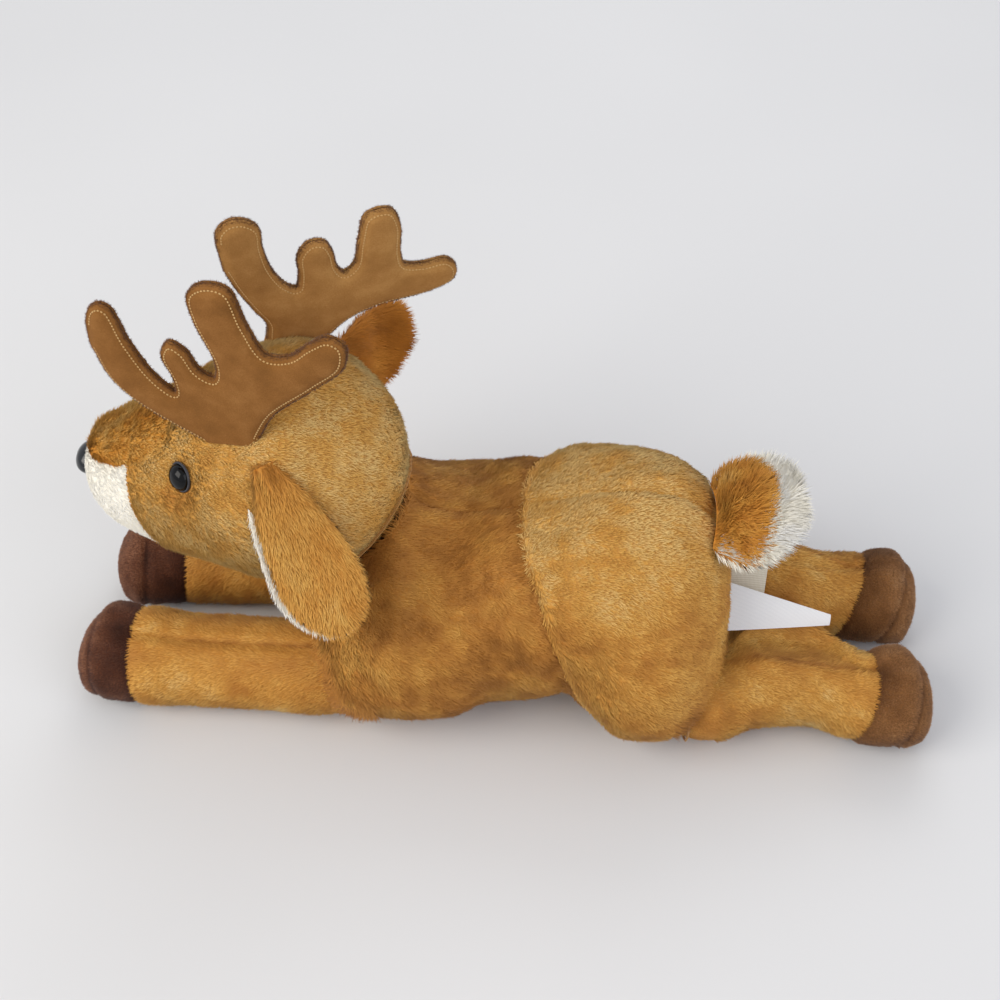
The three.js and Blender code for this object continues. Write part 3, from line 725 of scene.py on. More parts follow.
def half_space(name: str, edge: float) -> Piece:
    """A cutting tool on one side of the middle plane.

    Args:
        name: The object's name.
        edge: Where it starts, below zero for the left side and above it for the right.

    Returns:
        The object.
    """
    form = bmesh.new()
    bmesh.ops.create_cube(form, size=2 * FAR * MM)
    shift = MIDDLE + edge + math.copysign(FAR, edge)
    bmesh.ops.translate(form, verts=form.verts, vec=(0, shift * MM, 0))
    return outward(form, name, INSIDE)


def turned(
    name: str, profile: Sequence[tuple[float, float]], matrix: Matrix, side: int = OUTSIDE
) -> Piece:
    """A round form spun from its profile about X.

    Args:
        name: The object's name.
        profile: Radius and height along X of each point, from axis to axis.
        matrix: Places it in the deer's frame, in millimetres.
        side: Material index of all faces.

    Returns:
        The object.
    """
    form = bmesh.new()
    verts = [form.verts.new((height, radius, 0)) for radius, height in profile]
    edges = [form.edges.new(pair) for pair in zip(verts[:-1], verts[1:])]
    whole = {"angle": 2 * math.pi, "steps": 56, "use_merge": True}
    bmesh.ops.spin(form, geom=verts + edges, axis=(1, 0, 0), cent=(0, 0, 0), **whole)
    bmesh.ops.remove_doubles(form, verts=form.verts, dist=1e-3)
    for vertex in form.verts:
        vertex.co = (matrix @ vertex.co) * MM
    return outward(form, name, side)


def mirrored(piece: Piece, name: str) -> Piece:
    """A copy of a piece on the other side of the deer.

    Args:
        piece: The piece.
        name: The copy's name.

    Returns:
        The copy.
    """
    form = bmesh.new()
    form.from_mesh(piece.data)
    for vertex in form.verts:
        vertex.co.y = 2 * MIDDLE * MM - vertex.co.y
    bmesh.ops.reverse_faces(form, faces=form.faces)
    return object_of(form, name)


def copy_of(piece: Piece, name: str) -> Piece:
    """A second object with its own copy of the mesh."""
    return linked(name, piece.data.copy())


def lined(outer: Piece, inner: Piece) -> Piece:
    """Makes a shell of two forms, one inside the other.

    Args:
        outer: The outer form, which becomes the shell.
        inner: The inner form, which is used up.

    Returns:
        The shell.
    """
    form = bmesh.new()
    form.from_mesh(inner.data)
    bmesh.ops.reverse_faces(form, faces=form.faces)
    for face in form.faces:
        face.material_index = INSIDE
    form.from_mesh(outer.data)
    form.to_mesh(outer.data)
    form.free()
    drop(inner)
    return outer


class Cut(Enum):
    """How a cutting tool works on a form."""

    AWAY = "DIFFERENCE"
    KEEP = "INTERSECT"
    JOIN = "UNION"


def carve(piece: Piece, how: Cut, *tools: Piece, keep_tools: bool = False) -> Piece:
    """Cuts a form with tools and keeps the result, and that of its modifiers, as its mesh.

    Args:
        piece: The form.
        how: What each tool does.
        tools: The tools.
        keep_tools: Whether the tools stay for another cut.

    Returns:
        The same object.
    """
    for tool in tools:
        cut = piece.modifiers.new("cut", "BOOLEAN")
        cut.operation, cut.solver, cut.object = how.value, "MANIFOLD", tool
    bpy.context.view_layer.update()
    seen = piece.evaluated_get(bpy.context.evaluated_depsgraph_get())
    mesh, old = bpy.data.meshes.new_from_object(seen), piece.data
    piece.modifiers.clear()
    piece.data = mesh
    bpy.data.meshes.remove(old)
    if not keep_tools:
        drop(*tools)
    return piece


@dataclass(frozen=True)
class Fill:
    """How the cloth simulation fills a stuffed form.

    Args:
        pressure: Pressure of the filling.
        spare: Share by which the cloth is cut larger than its form.
        frames: Frames that the simulation runs for.
        smoothing: Passes that even its moves out. The pile hides folds that are finer.
    """

    pressure: float = 4.0
    spare: float = 0.035
    frames: int = 20
    smoothing: int = 4


def plump(piece: Piece, held: np.ndarray, cap: float, fill: Fill = Fill()) -> Piece:
    """Fills a stuffed form by a cloth simulation: panels swell and crease between held seams.

    Args:
        piece: The form.
        held: Which vertices the seams, the seats and the ground hold.
        cap: How far a vertex may move.
        fill: How it is filled.

    Returns:
        The same object.
    """
    rest = places_of(piece.data)
    group = piece.vertex_groups.new(name="held")
    group.add(np.flatnonzero(held).tolist(), 1.0, "REPLACE")
    cloth = piece.modifiers.new("filling", "CLOTH")
    settings = cloth.settings
    settings.vertex_group_mass = group.name
    settings.use_pressure, settings.uniform_pressure_force = True, fill.pressure
    settings.effector_weights.gravity = 0.0
    settings.shrink_min = -fill.spare
    cloth.point_cache.frame_start, cloth.point_cache.frame_end = 1, fill.frames
    for step in range(1, fill.frames + 1):
        bpy.context.scene.frame_set(step)
    seen = piece.evaluated_get(bpy.context.evaluated_depsgraph_get())
    moved = places_of(seen.data) - rest
    piece.modifiers.clear()
    piece.vertex_groups.clear()
    bpy.context.scene.frame_set(1)
    ends = np.empty(2 * len(piece.data.edges), int)
    piece.data.edges.foreach_get("vertices", ends)
    a, b = ends.reshape(-1, 2).T
    share = 1 + np.bincount(ends, minlength=len(rest))[:, None]
    for _ in range(fill.smoothing):
        total = moved.copy()
        np.add.at(total, a, moved[b])
        np.add.at(total, b, moved[a])
        moved = total / share
    far = np.linalg.norm(moved, axis=1, keepdims=True)
    moved *= cap / np.maximum(far, cap)
    LOG.info("%s swells by up to %.1f mm", piece.name, min(far.max(), cap))
    return reshape(piece, lambda places: rest + moved)


def dress(
    piece: Piece,
    finishes: Sequence[Finish],
    body: str,
    slot: str,
    *nodes: str,
    padded: Optional[float] = None,
    crease: Optional[float] = 40.0,
) -> Piece:
    """Gives a piece its materials and its body, and hides the frame nodes that it stands for.

    Args:
        piece: The piece.
        finishes: Finishes in slot order.
        body: The body that it rides on.
        slot: The record's material slot; not used.
        nodes: Frame nodes that it replaces.
        padded: How full a stuffed piece is; not used.
        crease: Angle in degrees from which an edge is drawn sharp.

    Returns:
        The piece.
    """
    slots = piece.data.materials
    for index, finish in enumerate(finishes):
        if index < len(slots):
            slots[index] = material_of(finish)
        else:
            slots.append(material_of(finish))
    while len(slots) > len(finishes):
        slots.pop()
    if crease is not None:
        piece.data.set_sharp_from_angle(angle=math.radians(crease))
    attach(piece, body)
    if nodes:
        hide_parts(*nodes)
    LOG.info("%s: %d faces on %s", piece.name, len(piece.data.polygons), body)
    return piece


# Pile


@dataclass(frozen=True)
class Nap:
    """How pile stands on its cloth.

    Args:
        length: Length of a fibre lock.
        width: Its width at the root, drawn coarser than the real fibre so that it shows.
        density: Locks on a square millimetre.
        lean: How far it leans from upright, in degrees.
        spread: How far single locks differ in direction, as a share.
        sway: How far tufts differ in direction, as a share.
        clump: Size of the tufts that lean together.
        tufts: How far those tufts differ.
        grain: How far single locks differ in tone.
        bright: How far the fibres pass the light from above on, as pale ones do.
        uneven: How far locks differ in length and width, as a share.
        turns: How far tufts, and single locks, differ in lean, in degrees.
        lean_range: Least and greatest lean, in radians.
        sunk: How deep a root is sunk in its cloth.
        splay: How far a lock's sides turn the light aside.
        tuft_tone: How far tufts differ in tone.
        tuft_length: How far tufts differ in length, as a share.
    """

    length: float = 2.5
    width: float = 0.55
    density: float = 2.6
    lean: float = 60.0
    spread: float = 0.20
    sway: float = 0.5
    clump: float = 4.0
    grain: float = 0.13
    tufts: float = 1.0
    bright: float = 0.0
    uneven: float = 0.25
    turns: tuple[float, float] = (26.0, 7.0)
    lean_range: tuple[float, float] = (0.09, 1.46)
    sunk: float = 0.15
    splay: float = 0.6
    tuft_tone: float = 0.18
    tuft_length: float = 0.3


def lock_shape() -> tuple[Points, np.ndarray]:
    """A closed three-sided cone on Z, one unit long and wide.

    Returns:
        Its vertices and its triangles.
    """
    form = bmesh.new()
    bmesh.ops.create_cone(form, cap_ends=True, segments=3, radius1=0.5, radius2=0.0, depth=1)
    bmesh.ops.remove_doubles(form, verts=form.verts, dist=1e-4)
    bmesh.ops.translate(form, verts=form.verts, vec=(0, 0, 0.5))
    bmesh.ops.recalc_face_normals(form, faces=form.faces)
    places = np.array([v.co for v in form.verts])
    faces = np.array([[v.index for v in f.verts] for f in form.faces])
    form.free()
    return places, faces


def outside_triangles(mesh: bpy.types.Mesh) -> tuple[Points, np.ndarray, Points]:
    """The cloth side of a panel.

    Args:
        mesh: The panel's mesh.

    Returns:
        All its vertices, the triangles of its cloth side, and a normal at each vertex.
    """
    mesh.calc_loop_triangles()
    count = len(mesh.loop_triangles)
    corners, faces = np.empty(count * 3, int), np.empty(count, int)
    mesh.loop_triangles.foreach_get("vertices", corners)
    mesh.loop_triangles.foreach_get("polygon_index", faces)
    sides = np.empty(len(mesh.polygons), int)
    mesh.polygons.foreach_get("material_index", sides)
    triangles = corners.reshape(-1, 3)[sides[faces] == OUTSIDE]
    places = places_of(mesh)
    a, b, c = places[triangles].transpose(1, 0, 2)
    normals = np.zeros_like(places)
    for k in range(3):
        np.add.at(normals, triangles[:, k], np.cross(b - a, c - a))
    return places, triangles, unit(normals)


class Upholstered:
    """A sub-assembly whose panels carry pile that follows its own rules.

    Each rule takes rows of points in the deer's frame and gives a row or a value for each.
    """

    def flow(self, points: Points) -> Points:
        """Says which way the pile is brushed.

        Args:
            points: Roots of locks, in the deer's frame.

        Returns:
            A direction for each point.
        """
        raise NotImplementedError

    def tone(self, points: Points) -> np.ndarray:
        """Says how pale the pile is.

        Args:
            points: Roots of locks, in the deer's frame.

        Returns:
            A tone for each point, from 0 for the darkest to 1.
        """
        raise NotImplementedError

    def trim(self, points: Points) -> np.ndarray:
        """Says how long the pile is, as a share of the nap's own length."""
        return np.ones(len(points))

    def cover(
        self,
        panel: Piece,
        cloth: PileCloth,
        slot: str,
        body: str,
        nap: Nap,
        seed: int,
        padded: float,
    ) -> None:
        """Dresses a panel named for its node and stands its pile on it.

        Args:
            panel: The panel.
            cloth: Its finish.
            slot: The record's material slot.
            body: The body that it rides on.
            nap: How its pile stands.
            seed: Seed of the draw.
            padded: How full the panel is.
        """
        tones = np.clip(self.tone(places_of(panel.data)), 0, 1).astype(np.float32)
        panel.data.attributes.new(TONE, "FLOAT", "POINT").data.foreach_set("value", tones)
        node = panel.name.removesuffix("_cloth")
        dress(panel, [cloth, cloth], body, slot, node, padded=padded)
        dress(self.pile(panel, nap, seed), [cloth.fibres()], body, slot, crease=None)

    def pile(self, panel: Piece, nap: Nap, seed: int) -> Piece:
        """Stands fibre locks all over the outside of a panel.

        Args:
            panel: The panel.
            nap: How its pile stands.
            seed: Seed of the draw.

        Returns:
            The pile as one object.
        """
        rng = np.random.default_rng(SEED + seed)
        places, triangles, normals = outside_triangles(panel.data)
        a, b, c = places[triangles].transpose(1, 0, 2)
        area = np.linalg.norm(np.cross(b - a, c - a), axis=1) / 2
        count = int(area.sum() * nap.density)
        pick = np.searchsorted(np.cumsum(area), rng.random(count) * area.sum())
        pick = triangles[np.clip(pick, 0, len(triangles) - 1)]
        u, v = rng.random((2, count))
        over = u + v > 1
        u[over], v[over] = 1 - u[over], 1 - v[over]
        share = np.stack([1 - u - v, u, v], axis=1)[:, :, None]
        roots, up = (places[pick] * share).sum(axis=1), unit((normals[pick] * share).sum(axis=1))
        trim = self.trim(roots)
        roots, up, trim = (value[trim > 0.05] for value in (roots, up, trim))
        count = len(roots)
        flow = unit(self.flow(roots)) + nap.sway * drift(roots, nap.clump, seed + 1)
        flow += rng.normal(0, nap.spread, (count, 3))
        along = unit(flow - up * np.sum(flow * up, axis=1, keepdims=True))
        tuft = nap.tufts * cloud(roots, nap.clump * 0.6, seed + 4)
        tuft_turn, lock_turn = nap.turns
        lean = nap.lean + tuft_turn * tuft + rng.normal(0, lock_turn, count)
        lean = np.radians(lean).clip(*nap.lean_range)[:, None]
        way = up * np.cos(lean) + along * np.sin(lean)
        side = unit(np.cross(way, up + 1e-4))
        axes = np.stack([side, np.cross(way, side), way], axis=1)
        shape, faces = lock_shape()
        short, tall = 1 - nap.uneven, 1 + nap.uneven
        length = nap.length * trim * rng.uniform(short, tall, count) * (1 + nap.tuft_length * tuft)
        width = nap.width * rng.uniform(short, tall, count)
        size = np.stack([width, 0.8 * width, length], axis=1)[:, None]
        locks = roots[:, None] - nap.sunk * up[:, None] + (shape * size) @ axes
        # The ground presses locks flat.
        locks[:, :, 2] = np.maximum(locks[:, :, 2], 0.05)
        # A lock is lit mostly as the cloth under it is, as a deep soft pile is.
        soft = up[:, None] + nap.splay * shape[:, :2] @ axes[:, :2] + [0, 0, nap.bright]
        soft = unit(soft.reshape(-1, 3))
        corners = (faces + len(shape) * np.arange(count)[:, None, None]).reshape(-1)
        total = count * len(faces)
        mesh = bpy.data.meshes.new(f"{panel.name}_pile")
        mesh.vertices.add(count * len(shape))
        mesh.vertices.foreach_set("co", (locks * MM).reshape(-1))
        mesh.loops.add(len(corners))
        mesh.loops.foreach_set("vertex_index", corners)
        mesh.polygons.add(total)
        mesh.polygons.foreach_set("loop_start", np.arange(total) * 3)
        mesh.polygons.foreach_set("use_smooth", np.ones(total, bool))
        mesh.update(calc_edges=True)
        free = mesh.attributes.new("custom_normal", "FLOAT_VECTOR", "POINT")
        free.data.foreach_set("vector", soft.astype(np.float32).ravel())
        tone = self.tone(roots) + nap.grain * (rng.random(count) - 0.5) + nap.tuft_tone * tuft
        # A lock's map is a thin upright sliver, so that its faces have width there.
        sliver = np.empty((count, len(shape), 2))
        sliver[:, :, 0] = np.clip(tone, 0.02, 0.98)[:, None] + shape[:, 0] * 0.012
        sliver[:, :, 1] = 0.02 + 0.96 * shape[:, 2] + shape[:, 1] * 0.03
        flat = np.clip(sliver.reshape(-1, 2)[corners], 0.002, 0.998)
        mesh.uv_layers.new(name=BAKE_MAP).data.foreach_set("uv", flat.reshape(-1))
        return linked(mesh.name, mesh)


# The deer's parts


@dataclass(frozen=True)
class LegPlace:
    """Where one leg starts, where it reaches and where its hoof begins.

    Args:
        name: front or hind.
        side: left or right.
        x: Middle of the root ball along the deer.
        y: Its place to the side, from the middle plane.
        reach: Distance of the hoof's tip from the origin along the deer.
        hoof_y: Place of the tip to the side.
        hoof_share: Where the hoof begins, as a share of the length.
        hoof_tilt: How far the hoof seam tilts, in degrees.
        root_z: Height of the root ball.
    """

    name: str
    side: str
    x: float
    y: float
    reach: float
    hoof_y: float
    hoof_share: float
    hoof_tilt: float
    root_z: float = 20.0

    @property
    def length(self) -> float:
        """Length of the leg from its root ball's middle to its tip."""
        return math.hypot(self.reach - abs(self.x), self.hoof_y - self.y)

    @property
    def matrix(self) -> Matrix:
        """Turns the leg's own frame, with +X to the hoof, into the deer's, in millimetres."""
        run = math.copysign(self.reach - abs(self.x), self.x)
        aim = math.atan2(self.hoof_y - self.y, run)
        root = Matrix.Translation((self.x, MIDDLE + self.y, self.root_z))
        return root @ Matrix.Rotation(aim, 4, "Z")


LEGS = (
    LegPlace("front", "left", -58, -27, 164.8, -24, 0.76, 2),
    LegPlace("front", "right", -58, 32, 162.0, 25, 0.70, -6),
    LegPlace("hind", "left", 78, -30, 164.8, -25, 0.68, 18),
    LegPlace("hind", "right", 78, 34, 164.8, 23, 0.68, 18),
)


@dataclass(frozen=True)
class Sizes:
    """Sizes that several sub-assemblies share.

    Args:
        skin: Thickness of cloth and pile.
        inner_room: How far the unseen inside of a shell stays off the skin's.
        seam_gap: Gap between two panels.
        seat_gap: Gap between a piece and what carries it.
        thread: Thickness of the thread that gathers a socket.
        head_radius: Radius of the head ball.
        head_x: Its middle along the deer.
        head_z: Height of its middle.
        leg_radius: Radius of a leg's root ball.
        pile_room: How far cloth stays inside its solid, so that the pile has room.
        deepest: How deep a stuffed form may be drawn in.
        ground_depth: The same near the ground, where the frame's filling is close.
        ground_rise: Heights between which the second gives way to the first.
    """

    skin: float = 4.0
    inner_room: float = 1.2
    seam_gap: float = 0.3
    seat_gap: float = 0.3
    thread: float = 0.5
    head_radius: float = 43.0
    head_x: float = -77.0
    head_z: float = 104.0
    leg_radius: float = 18.5
    pile_room: float = 0.9
    deepest: float = 1.7
    ground_depth: float = 0.3
    ground_rise: tuple[float, float] = (18.0, 36.0)

    @property
    def socket_room(self) -> float:
        """Room between a root ball and its socket."""
        return 2 * self.seat_gap + 2.5 * self.thread

    @property
    def head(self) -> np.ndarray:
        """Middle of the head ball."""
        return np.array([self.head_x, MIDDLE, self.head_z])


SIZES = Sizes()


def stuffed(name: str, part: "Torso | Head") -> Piece:
    """A stuffed shell: shaped, drawn in along its seams, and filled by a simulation.

    Args:
        name: What its objects are named for.
        part: The sub-assembly, whose rules and sizes it follows.

    Returns:
        The shell.
    """
    piece = formed(f"{name}_outer", *part.grid, part.shape(SIZES.pile_room + part.spare))
    base = places_of(piece.data)
    out = np.empty(len(base) * 3)
    piece.data.vertex_normals.foreach_get("vector", out)
    out = out.reshape(-1, 3)
    plump(reshape(piece, part.creased), part.held(base), part.swell)

    def kept(places: Points) -> Points:
        """Keeps the form off the filling and on the ground."""
        risen = np.sum((places - base) * out, axis=1)
        low, high = SIZES.ground_depth, SIZES.deepest
        limit = low + (high - low) * rise(base[:, 2], *SIZES.ground_rise)
        places = places + out * np.maximum(-limit - risen, 0)[:, None]
        places[:, 2] = np.maximum(places[:, 2], 0)
        return places

    inner = part.shape(SIZES.skin + SIZES.inner_room)
    return lined(reshape(piece, kept), formed(f"{name}_inner", *INNER_GRID, inner))


def mottle(points: Points, broad: float, seed: int) -> np.ndarray:
    """Broad and fine clouds of tone, as where a pile has been pressed and stroked."""
    return 0.5 * cloud(points, broad, seed) + 0.4 * cloud(points, 4.5, seed + 1)


@dataclass
class Torso(Upholstered):
    """The stuffed body: two front panels and two haunch panels sewn round the filling.

    Args:
        front: Place of the front end along the deer.
        length: Length of the body.
        width: Its greatest width.
        height: Its greatest height.
        shares: Along the body: where, top, underside, half width, and how pear-shaped it is.
        haunch_seam: Height and place along the body of the slanted seam.
        relief_depth: Length of the room cut for a swinging leg.
        swing: Greatest swing of a leg out, in, up and down, with some slack, in degrees.
        relief_square: How square the far end of that room is.
        brushed: Way in which the pile is brushed, along the deer and upwards.
        grid: Points round and along the outer form.
        swell: How far the filling may move a point of it.
        spare: How far it is drawn in to leave room for that.
    """

    front: float = -74.0
    length: float = 161.0
    width: float = 112.0
    height: float = 98.0
    shares: tuple = (
        (0.000, 0.34, 0.34, 0.00, 0.00),
        (0.020, 0.54, 0.12, 0.58, 0.08),
        (0.060, 0.69, 0.02, 0.82, 0.18),
        (0.140, 0.85, -0.01, 0.94, 0.25),
        (0.220, 0.93, -0.01, 0.97, 0.23),
        (0.290, 0.87, -0.01, 0.95, 0.17),
        (0.360, 0.85, 0.00, 0.92, 0.08),
        (0.500, 0.90, 0.03, 0.86, -0.12),
        (0.600, 0.94, 0.03, 0.86, -0.22),
        (0.680, 0.975, 0.00, 0.94, 0.00),
        (0.760, 0.99, -0.01, 1.04, 0.22),
        (0.840, 0.985, -0.01, 1.03, 0.26),
        (0.910, 0.93, 0.00, 0.92, 0.22),
        (0.965, 0.79, 0.06, 0.66, 0.10),
        (0.990, 0.62, 0.18, 0.38, 0.00),
        (1.000, 0.42, 0.42, 0.00, 0.00),
    )
    haunch_seam: tuple = (
        (-0.50, 0.90),
        (0.04, 0.74),
        (0.20, 0.675),
        (0.41, 0.63),
        (0.59, 0.595),
        (0.78, 0.55),
        (0.88, 0.50),
        (1.60, 0.30),
    )
    relief_depth: float = 34.0
    swing: tuple = (28.0, 5.0, 18.0, 36.0)
    relief_square: float = 0.6
    brushed: tuple = (1.0, -0.45)
    grid: tuple = (120, 92)
    swell: float = 2.6
    spare: float = 0.4

    def seam_x(self, z: np.ndarray) -> np.ndarray:
        """Place of the haunch seam along the deer at a height."""
        share = table_at(self.haunch_seam, np.asarray(z) / self.height, False)[:, 0]
        return self.front + share * self.length

    def seam_gap(self, points: Points) -> np.ndarray:
        """How far points lie behind the haunch seam."""
        return points[:, 0] - self.seam_x(points[:, 2])

    def neck_gap(self, points: Points) -> np.ndarray:
        """How far points lie from the head ball."""
        return np.linalg.norm(points - SIZES.head, axis=1) - SIZES.head_radius

    def shape(self, inset: float) -> Rule:
        """Gives the body's form.

        Args:
            inset: How far it is drawn in.

        Returns:
            Rule that places a sphere's vertices on it.
        """

        def place(share: np.ndarray, angle: np.ndarray) -> Points:
            """Places vertices on the body."""
            along = (1 - np.cos(share * math.pi)) / 2
            top, under, wide, pear = table_at(self.shares, along, True).T
            tall = np.maximum((top - under) * self.height / 2 - inset, 0)
            half = np.maximum(wide * self.width / 2 - inset, 0)
            across = np.cos(angle) * (1 - pear * np.sin(angle))
            x = self.front + inset + along * (self.length - 2 * inset)
            z = (top + under) * self.height / 2 + tall * np.sin(angle)
            return np.stack([x, MIDDLE + half * across, z], axis=1)

        return place

    def creased(self, points: Points) -> Points:
        """Draws the outer form in along its seams and in pleats round the neck.

        Args:
            points: Its vertices.

        Returns:
            Their new places.
        """
        x, y, z = points.T
        middle_z = 0.42 * self.height
        inward = unit(np.stack([0 * x, MIDDLE - y, (middle_z - z) * 0.9], axis=1))
        spine = falloff(y - MIDDLE, 5.0) * np.where(z > middle_z, 1.0, 0.5)
        gap = self.seam_gap(points)
        haunch = np.where(gap < 0, falloff(gap, 15.0) ** 1.5, falloff(gap, 4.0))
        depth = 1.4 * spine + (0.9 + rise(z, 25, 50)) * haunch * rise(z, 4, 18)
        swirl = np.arctan2(y - MIDDLE, z - SIZES.head_z)
        pleat = 0.5 * np.sin(19 * swirl) + 0.3 * np.sin(31 * swirl + 1.3)
        depth += falloff(self.neck_gap(points), 24.0) * pleat
        depth -= 1.8 * cloud(points, 17.0, 11) + 0.8 * cloud(points, 8.0, 12)
        return points + inward * depth[:, None]

    def held(self, points: Points) -> np.ndarray:
        """Seams, sockets and ground hold the cloth."""
        seams = (np.abs(self.seam_gap(points)) < 2) | (np.abs(points[:, 1] - MIDDLE) < 2)
        seats = [np.array(leg.matrix.translation) for leg in LEGS]
        near = [np.linalg.norm(points - seat, axis=1) < SIZES.leg_radius + 14 for seat in seats]
        return seams | np.any(near, axis=0) | (points[:, 2] < 3) | (self.neck_gap(points) < 7)

    def leg_room(self, leg: LegPlace) -> Piece:
        """The room that a leg's root ball and its swing need.

        Args:
            leg: The leg.

        Returns:
            A cutting tool.
        """
        out, inner, up, down = self.swing
        if (leg.name == "front") == (leg.side == "right"):
            out, inner = inner, out
        tag = f"room_{leg.name}_{leg.side}"

        def reach(degrees: float, depth: float) -> float:
            """Half the room's size at a depth, for a swing."""
            turn = math.radians(degrees)
            return (SIZES.leg_radius + depth * math.sin(turn)) / math.cos(turn) + SIZES.seat_gap

        def shape(share: np.ndarray, angle: np.ndarray) -> Points:
            """Places four rings: two poles, the near end and the far end."""
            ring = np.rint(share * 3).astype(int)
            depth = np.where(ring <= 1, 0.0, self.relief_depth)
            power = np.where(ring == 2, 1 - self.relief_square, 1.0)
            near = [reach(d, 0.0) for d in (out, inner, up, down)]
            far = [reach(d, self.relief_depth) for d in (out, inner, up, down)]
            a, b, c, d = np.where((ring <= 1)[:, None], near, far).T
            wide, tall = (
                np.where((ring == 0) | (ring == 3), 0, half * np.sign(way) * np.abs(way) ** power)
                for half, way in (((a + b) / 2, np.cos(angle)), ((c + d) / 2, np.sin(angle)))
            )
            x = depth + 0.5 * (ring > 0) + 0.5 * (ring == 3)
            local = np.stack([x, (a - b) / 2 + wide, (c - d) / 2 + tall], axis=1)
            local[ring == 0] = 0
            return through(leg.matrix, local)

        room = formed(tag, 48, 3, shape, INSIDE)
        radius = SIZES.leg_radius + SIZES.socket_room
        return carve(room, Cut.JOIN, ball_tool(f"{tag}_socket", radius, leg.matrix.translation))

    def tone(self, points: Points) -> np.ndarray:
        """Painted shade in front of the haunch seam, by the neck, along the spine seam and round
        the legs; painted light on the haunch.
        """
        gap, neck = self.seam_gap(points), self.neck_gap(points)
        # Painted shade on the front panels, deeper in the crease before the haunch seam; a little
        # painted light on the haunch's edge behind it.
        shade = np.where(gap < 0, 0.15 + 0.26 * falloff(gap, 11.0), -0.04 * falloff(gap, 14.0))
        # Painted shade under the head at the neck and in the crease of the spine seam.
        shade = shade + 0.24 * falloff(neck, 24.0) + 0.25 * falloff(points[:, 1] - MIDDLE, 1.6)
        # Painted shade in the creases round the legs.
        shade = shade + 0.16 * self.leg_rims(points)
        # Painted light on the top of the body, strongest on the haunch.
        top = (0.04 + 0.40 * (gap > 0)) * rise(points[:, 2], 66, 92)
        return 0.51 + mottle(points, 13.0, 21) - shade + top

    def flow(self, points: Points) -> Points:
        """To the tail and a little down, forwards over haunch seam and neck, inwards at legs."""
        gap = self.seam_gap(points)
        turn = 0.8 * falloff(np.maximum(gap, 0) - 1.0, 4.0) * (gap > 0)
        turn = turn + 3.0 * falloff(self.neck_gap(points), 5.0)
        back, up = self.brushed
        flow = np.stack([back - turn, 0 * gap, up + 0 * gap], axis=1)
        flow = flow + 0.5 * drift(points, 26.0, 23) * [0, 1, 1]
        for leg in LEGS:
            near, to_axis = self.leg_rim(points, leg)
            flow = flow + 2.2 * near[:, None] * to_axis
        return flow

    def trim(self, points: Points) -> np.ndarray:
        """Short on the ground and along the spine, long at the neck and round the legs."""
        length = 1 - 0.45 * falloff(points[:, 1] - MIDDLE, 1.2)
        length += 1.1 * falloff(self.neck_gap(points), 4.5)
        length += 0.8 * self.leg_rims(points)
        return np.where(points[:, 2] < 1.0, 0.3, length)

    def leg_rim(self, points: Points, leg: LegPlace) -> tuple[np.ndarray, Points]:
        """Finds the rim of the cloth round a leg.

        Args:
            points: Roots of locks.
            leg: The leg.

        Returns:
            How near each point is to it, and the way from there to the leg's axis.
        """
        local = seen_from(leg.matrix, points)
        reach = np.hypot(local[:, 1], local[:, 2])
        near = falloff(np.maximum(reach - 22, 0), 8.0) * (np.abs(local[:, 0] - 12) < 26)
        inward = -local * [0, 1, 1] / np.maximum(reach, 1)[:, None] + [0.5, 0, 0]
        return near, turned_by(leg.matrix, inward)

    def leg_rims(self, points: Points) -> np.ndarray:
        """How near points are to the rim round any leg."""
        return np.max([self.leg_rim(points, leg)[0] for leg in LEGS], axis=0)

    def build(self) -> None:
        """Builds the four panels."""
        shell = stuffed("torso", self)
        socket = ball_tool("head_socket", SIZES.head_radius + SIZES.socket_room, SIZES.head)
        carve(shell, Cut.AWAY, socket, *[self.leg_room(leg) for leg in LEGS])
        heights = np.linspace(-0.4, 1.5, 120) * self.height
        seam = self.seam_x(heights)
        gap = SIZES.seam_gap / 2
        halves = (("left", half_space("left_half", -gap)), ("right", half_space("right_half", gap)))
        seed = 100
        for name, end, shift in (("body_front", -FAR, -gap), ("haunch", FAR, gap)):
            edge = list(zip(seam + shift, heights))
            tool = slab(f"{name}_slab", [*edge, (end, heights[-1]), (end, heights[0])])
            for side, half in halves:
                panel = copy_of(shell, f"{name}_{side}_cloth")
                carve(panel, Cut.KEEP, tool, half, keep_tools=True)
                self.cover(panel, GOLDEN, "golden_pile", "torso", Nap(), seed, padded=0.85)
                seed += 10
            drop(tool)
        drop(shell, *(half for _, half in halves))


TORSO = Torso()


def rounded_line(points: Sequence[Sequence[float]]) -> np.ndarray:
    """Cuts a line's corners again and again, so that it bends smoothly.

    Args:
        points: The line's points.

    Returns:
        The smooth line's points.
    """
    line = np.asarray(points, float)
    for _ in range(4):
        a, b = line[:-1], line[1:]
        cut = np.stack([0.75 * a + 0.25 * b, 0.25 * a + 0.75 * b], axis=1).reshape(-1, 2)
        line = np.concatenate([line[:1], cut[1:-1], line[-1:]])
    return line


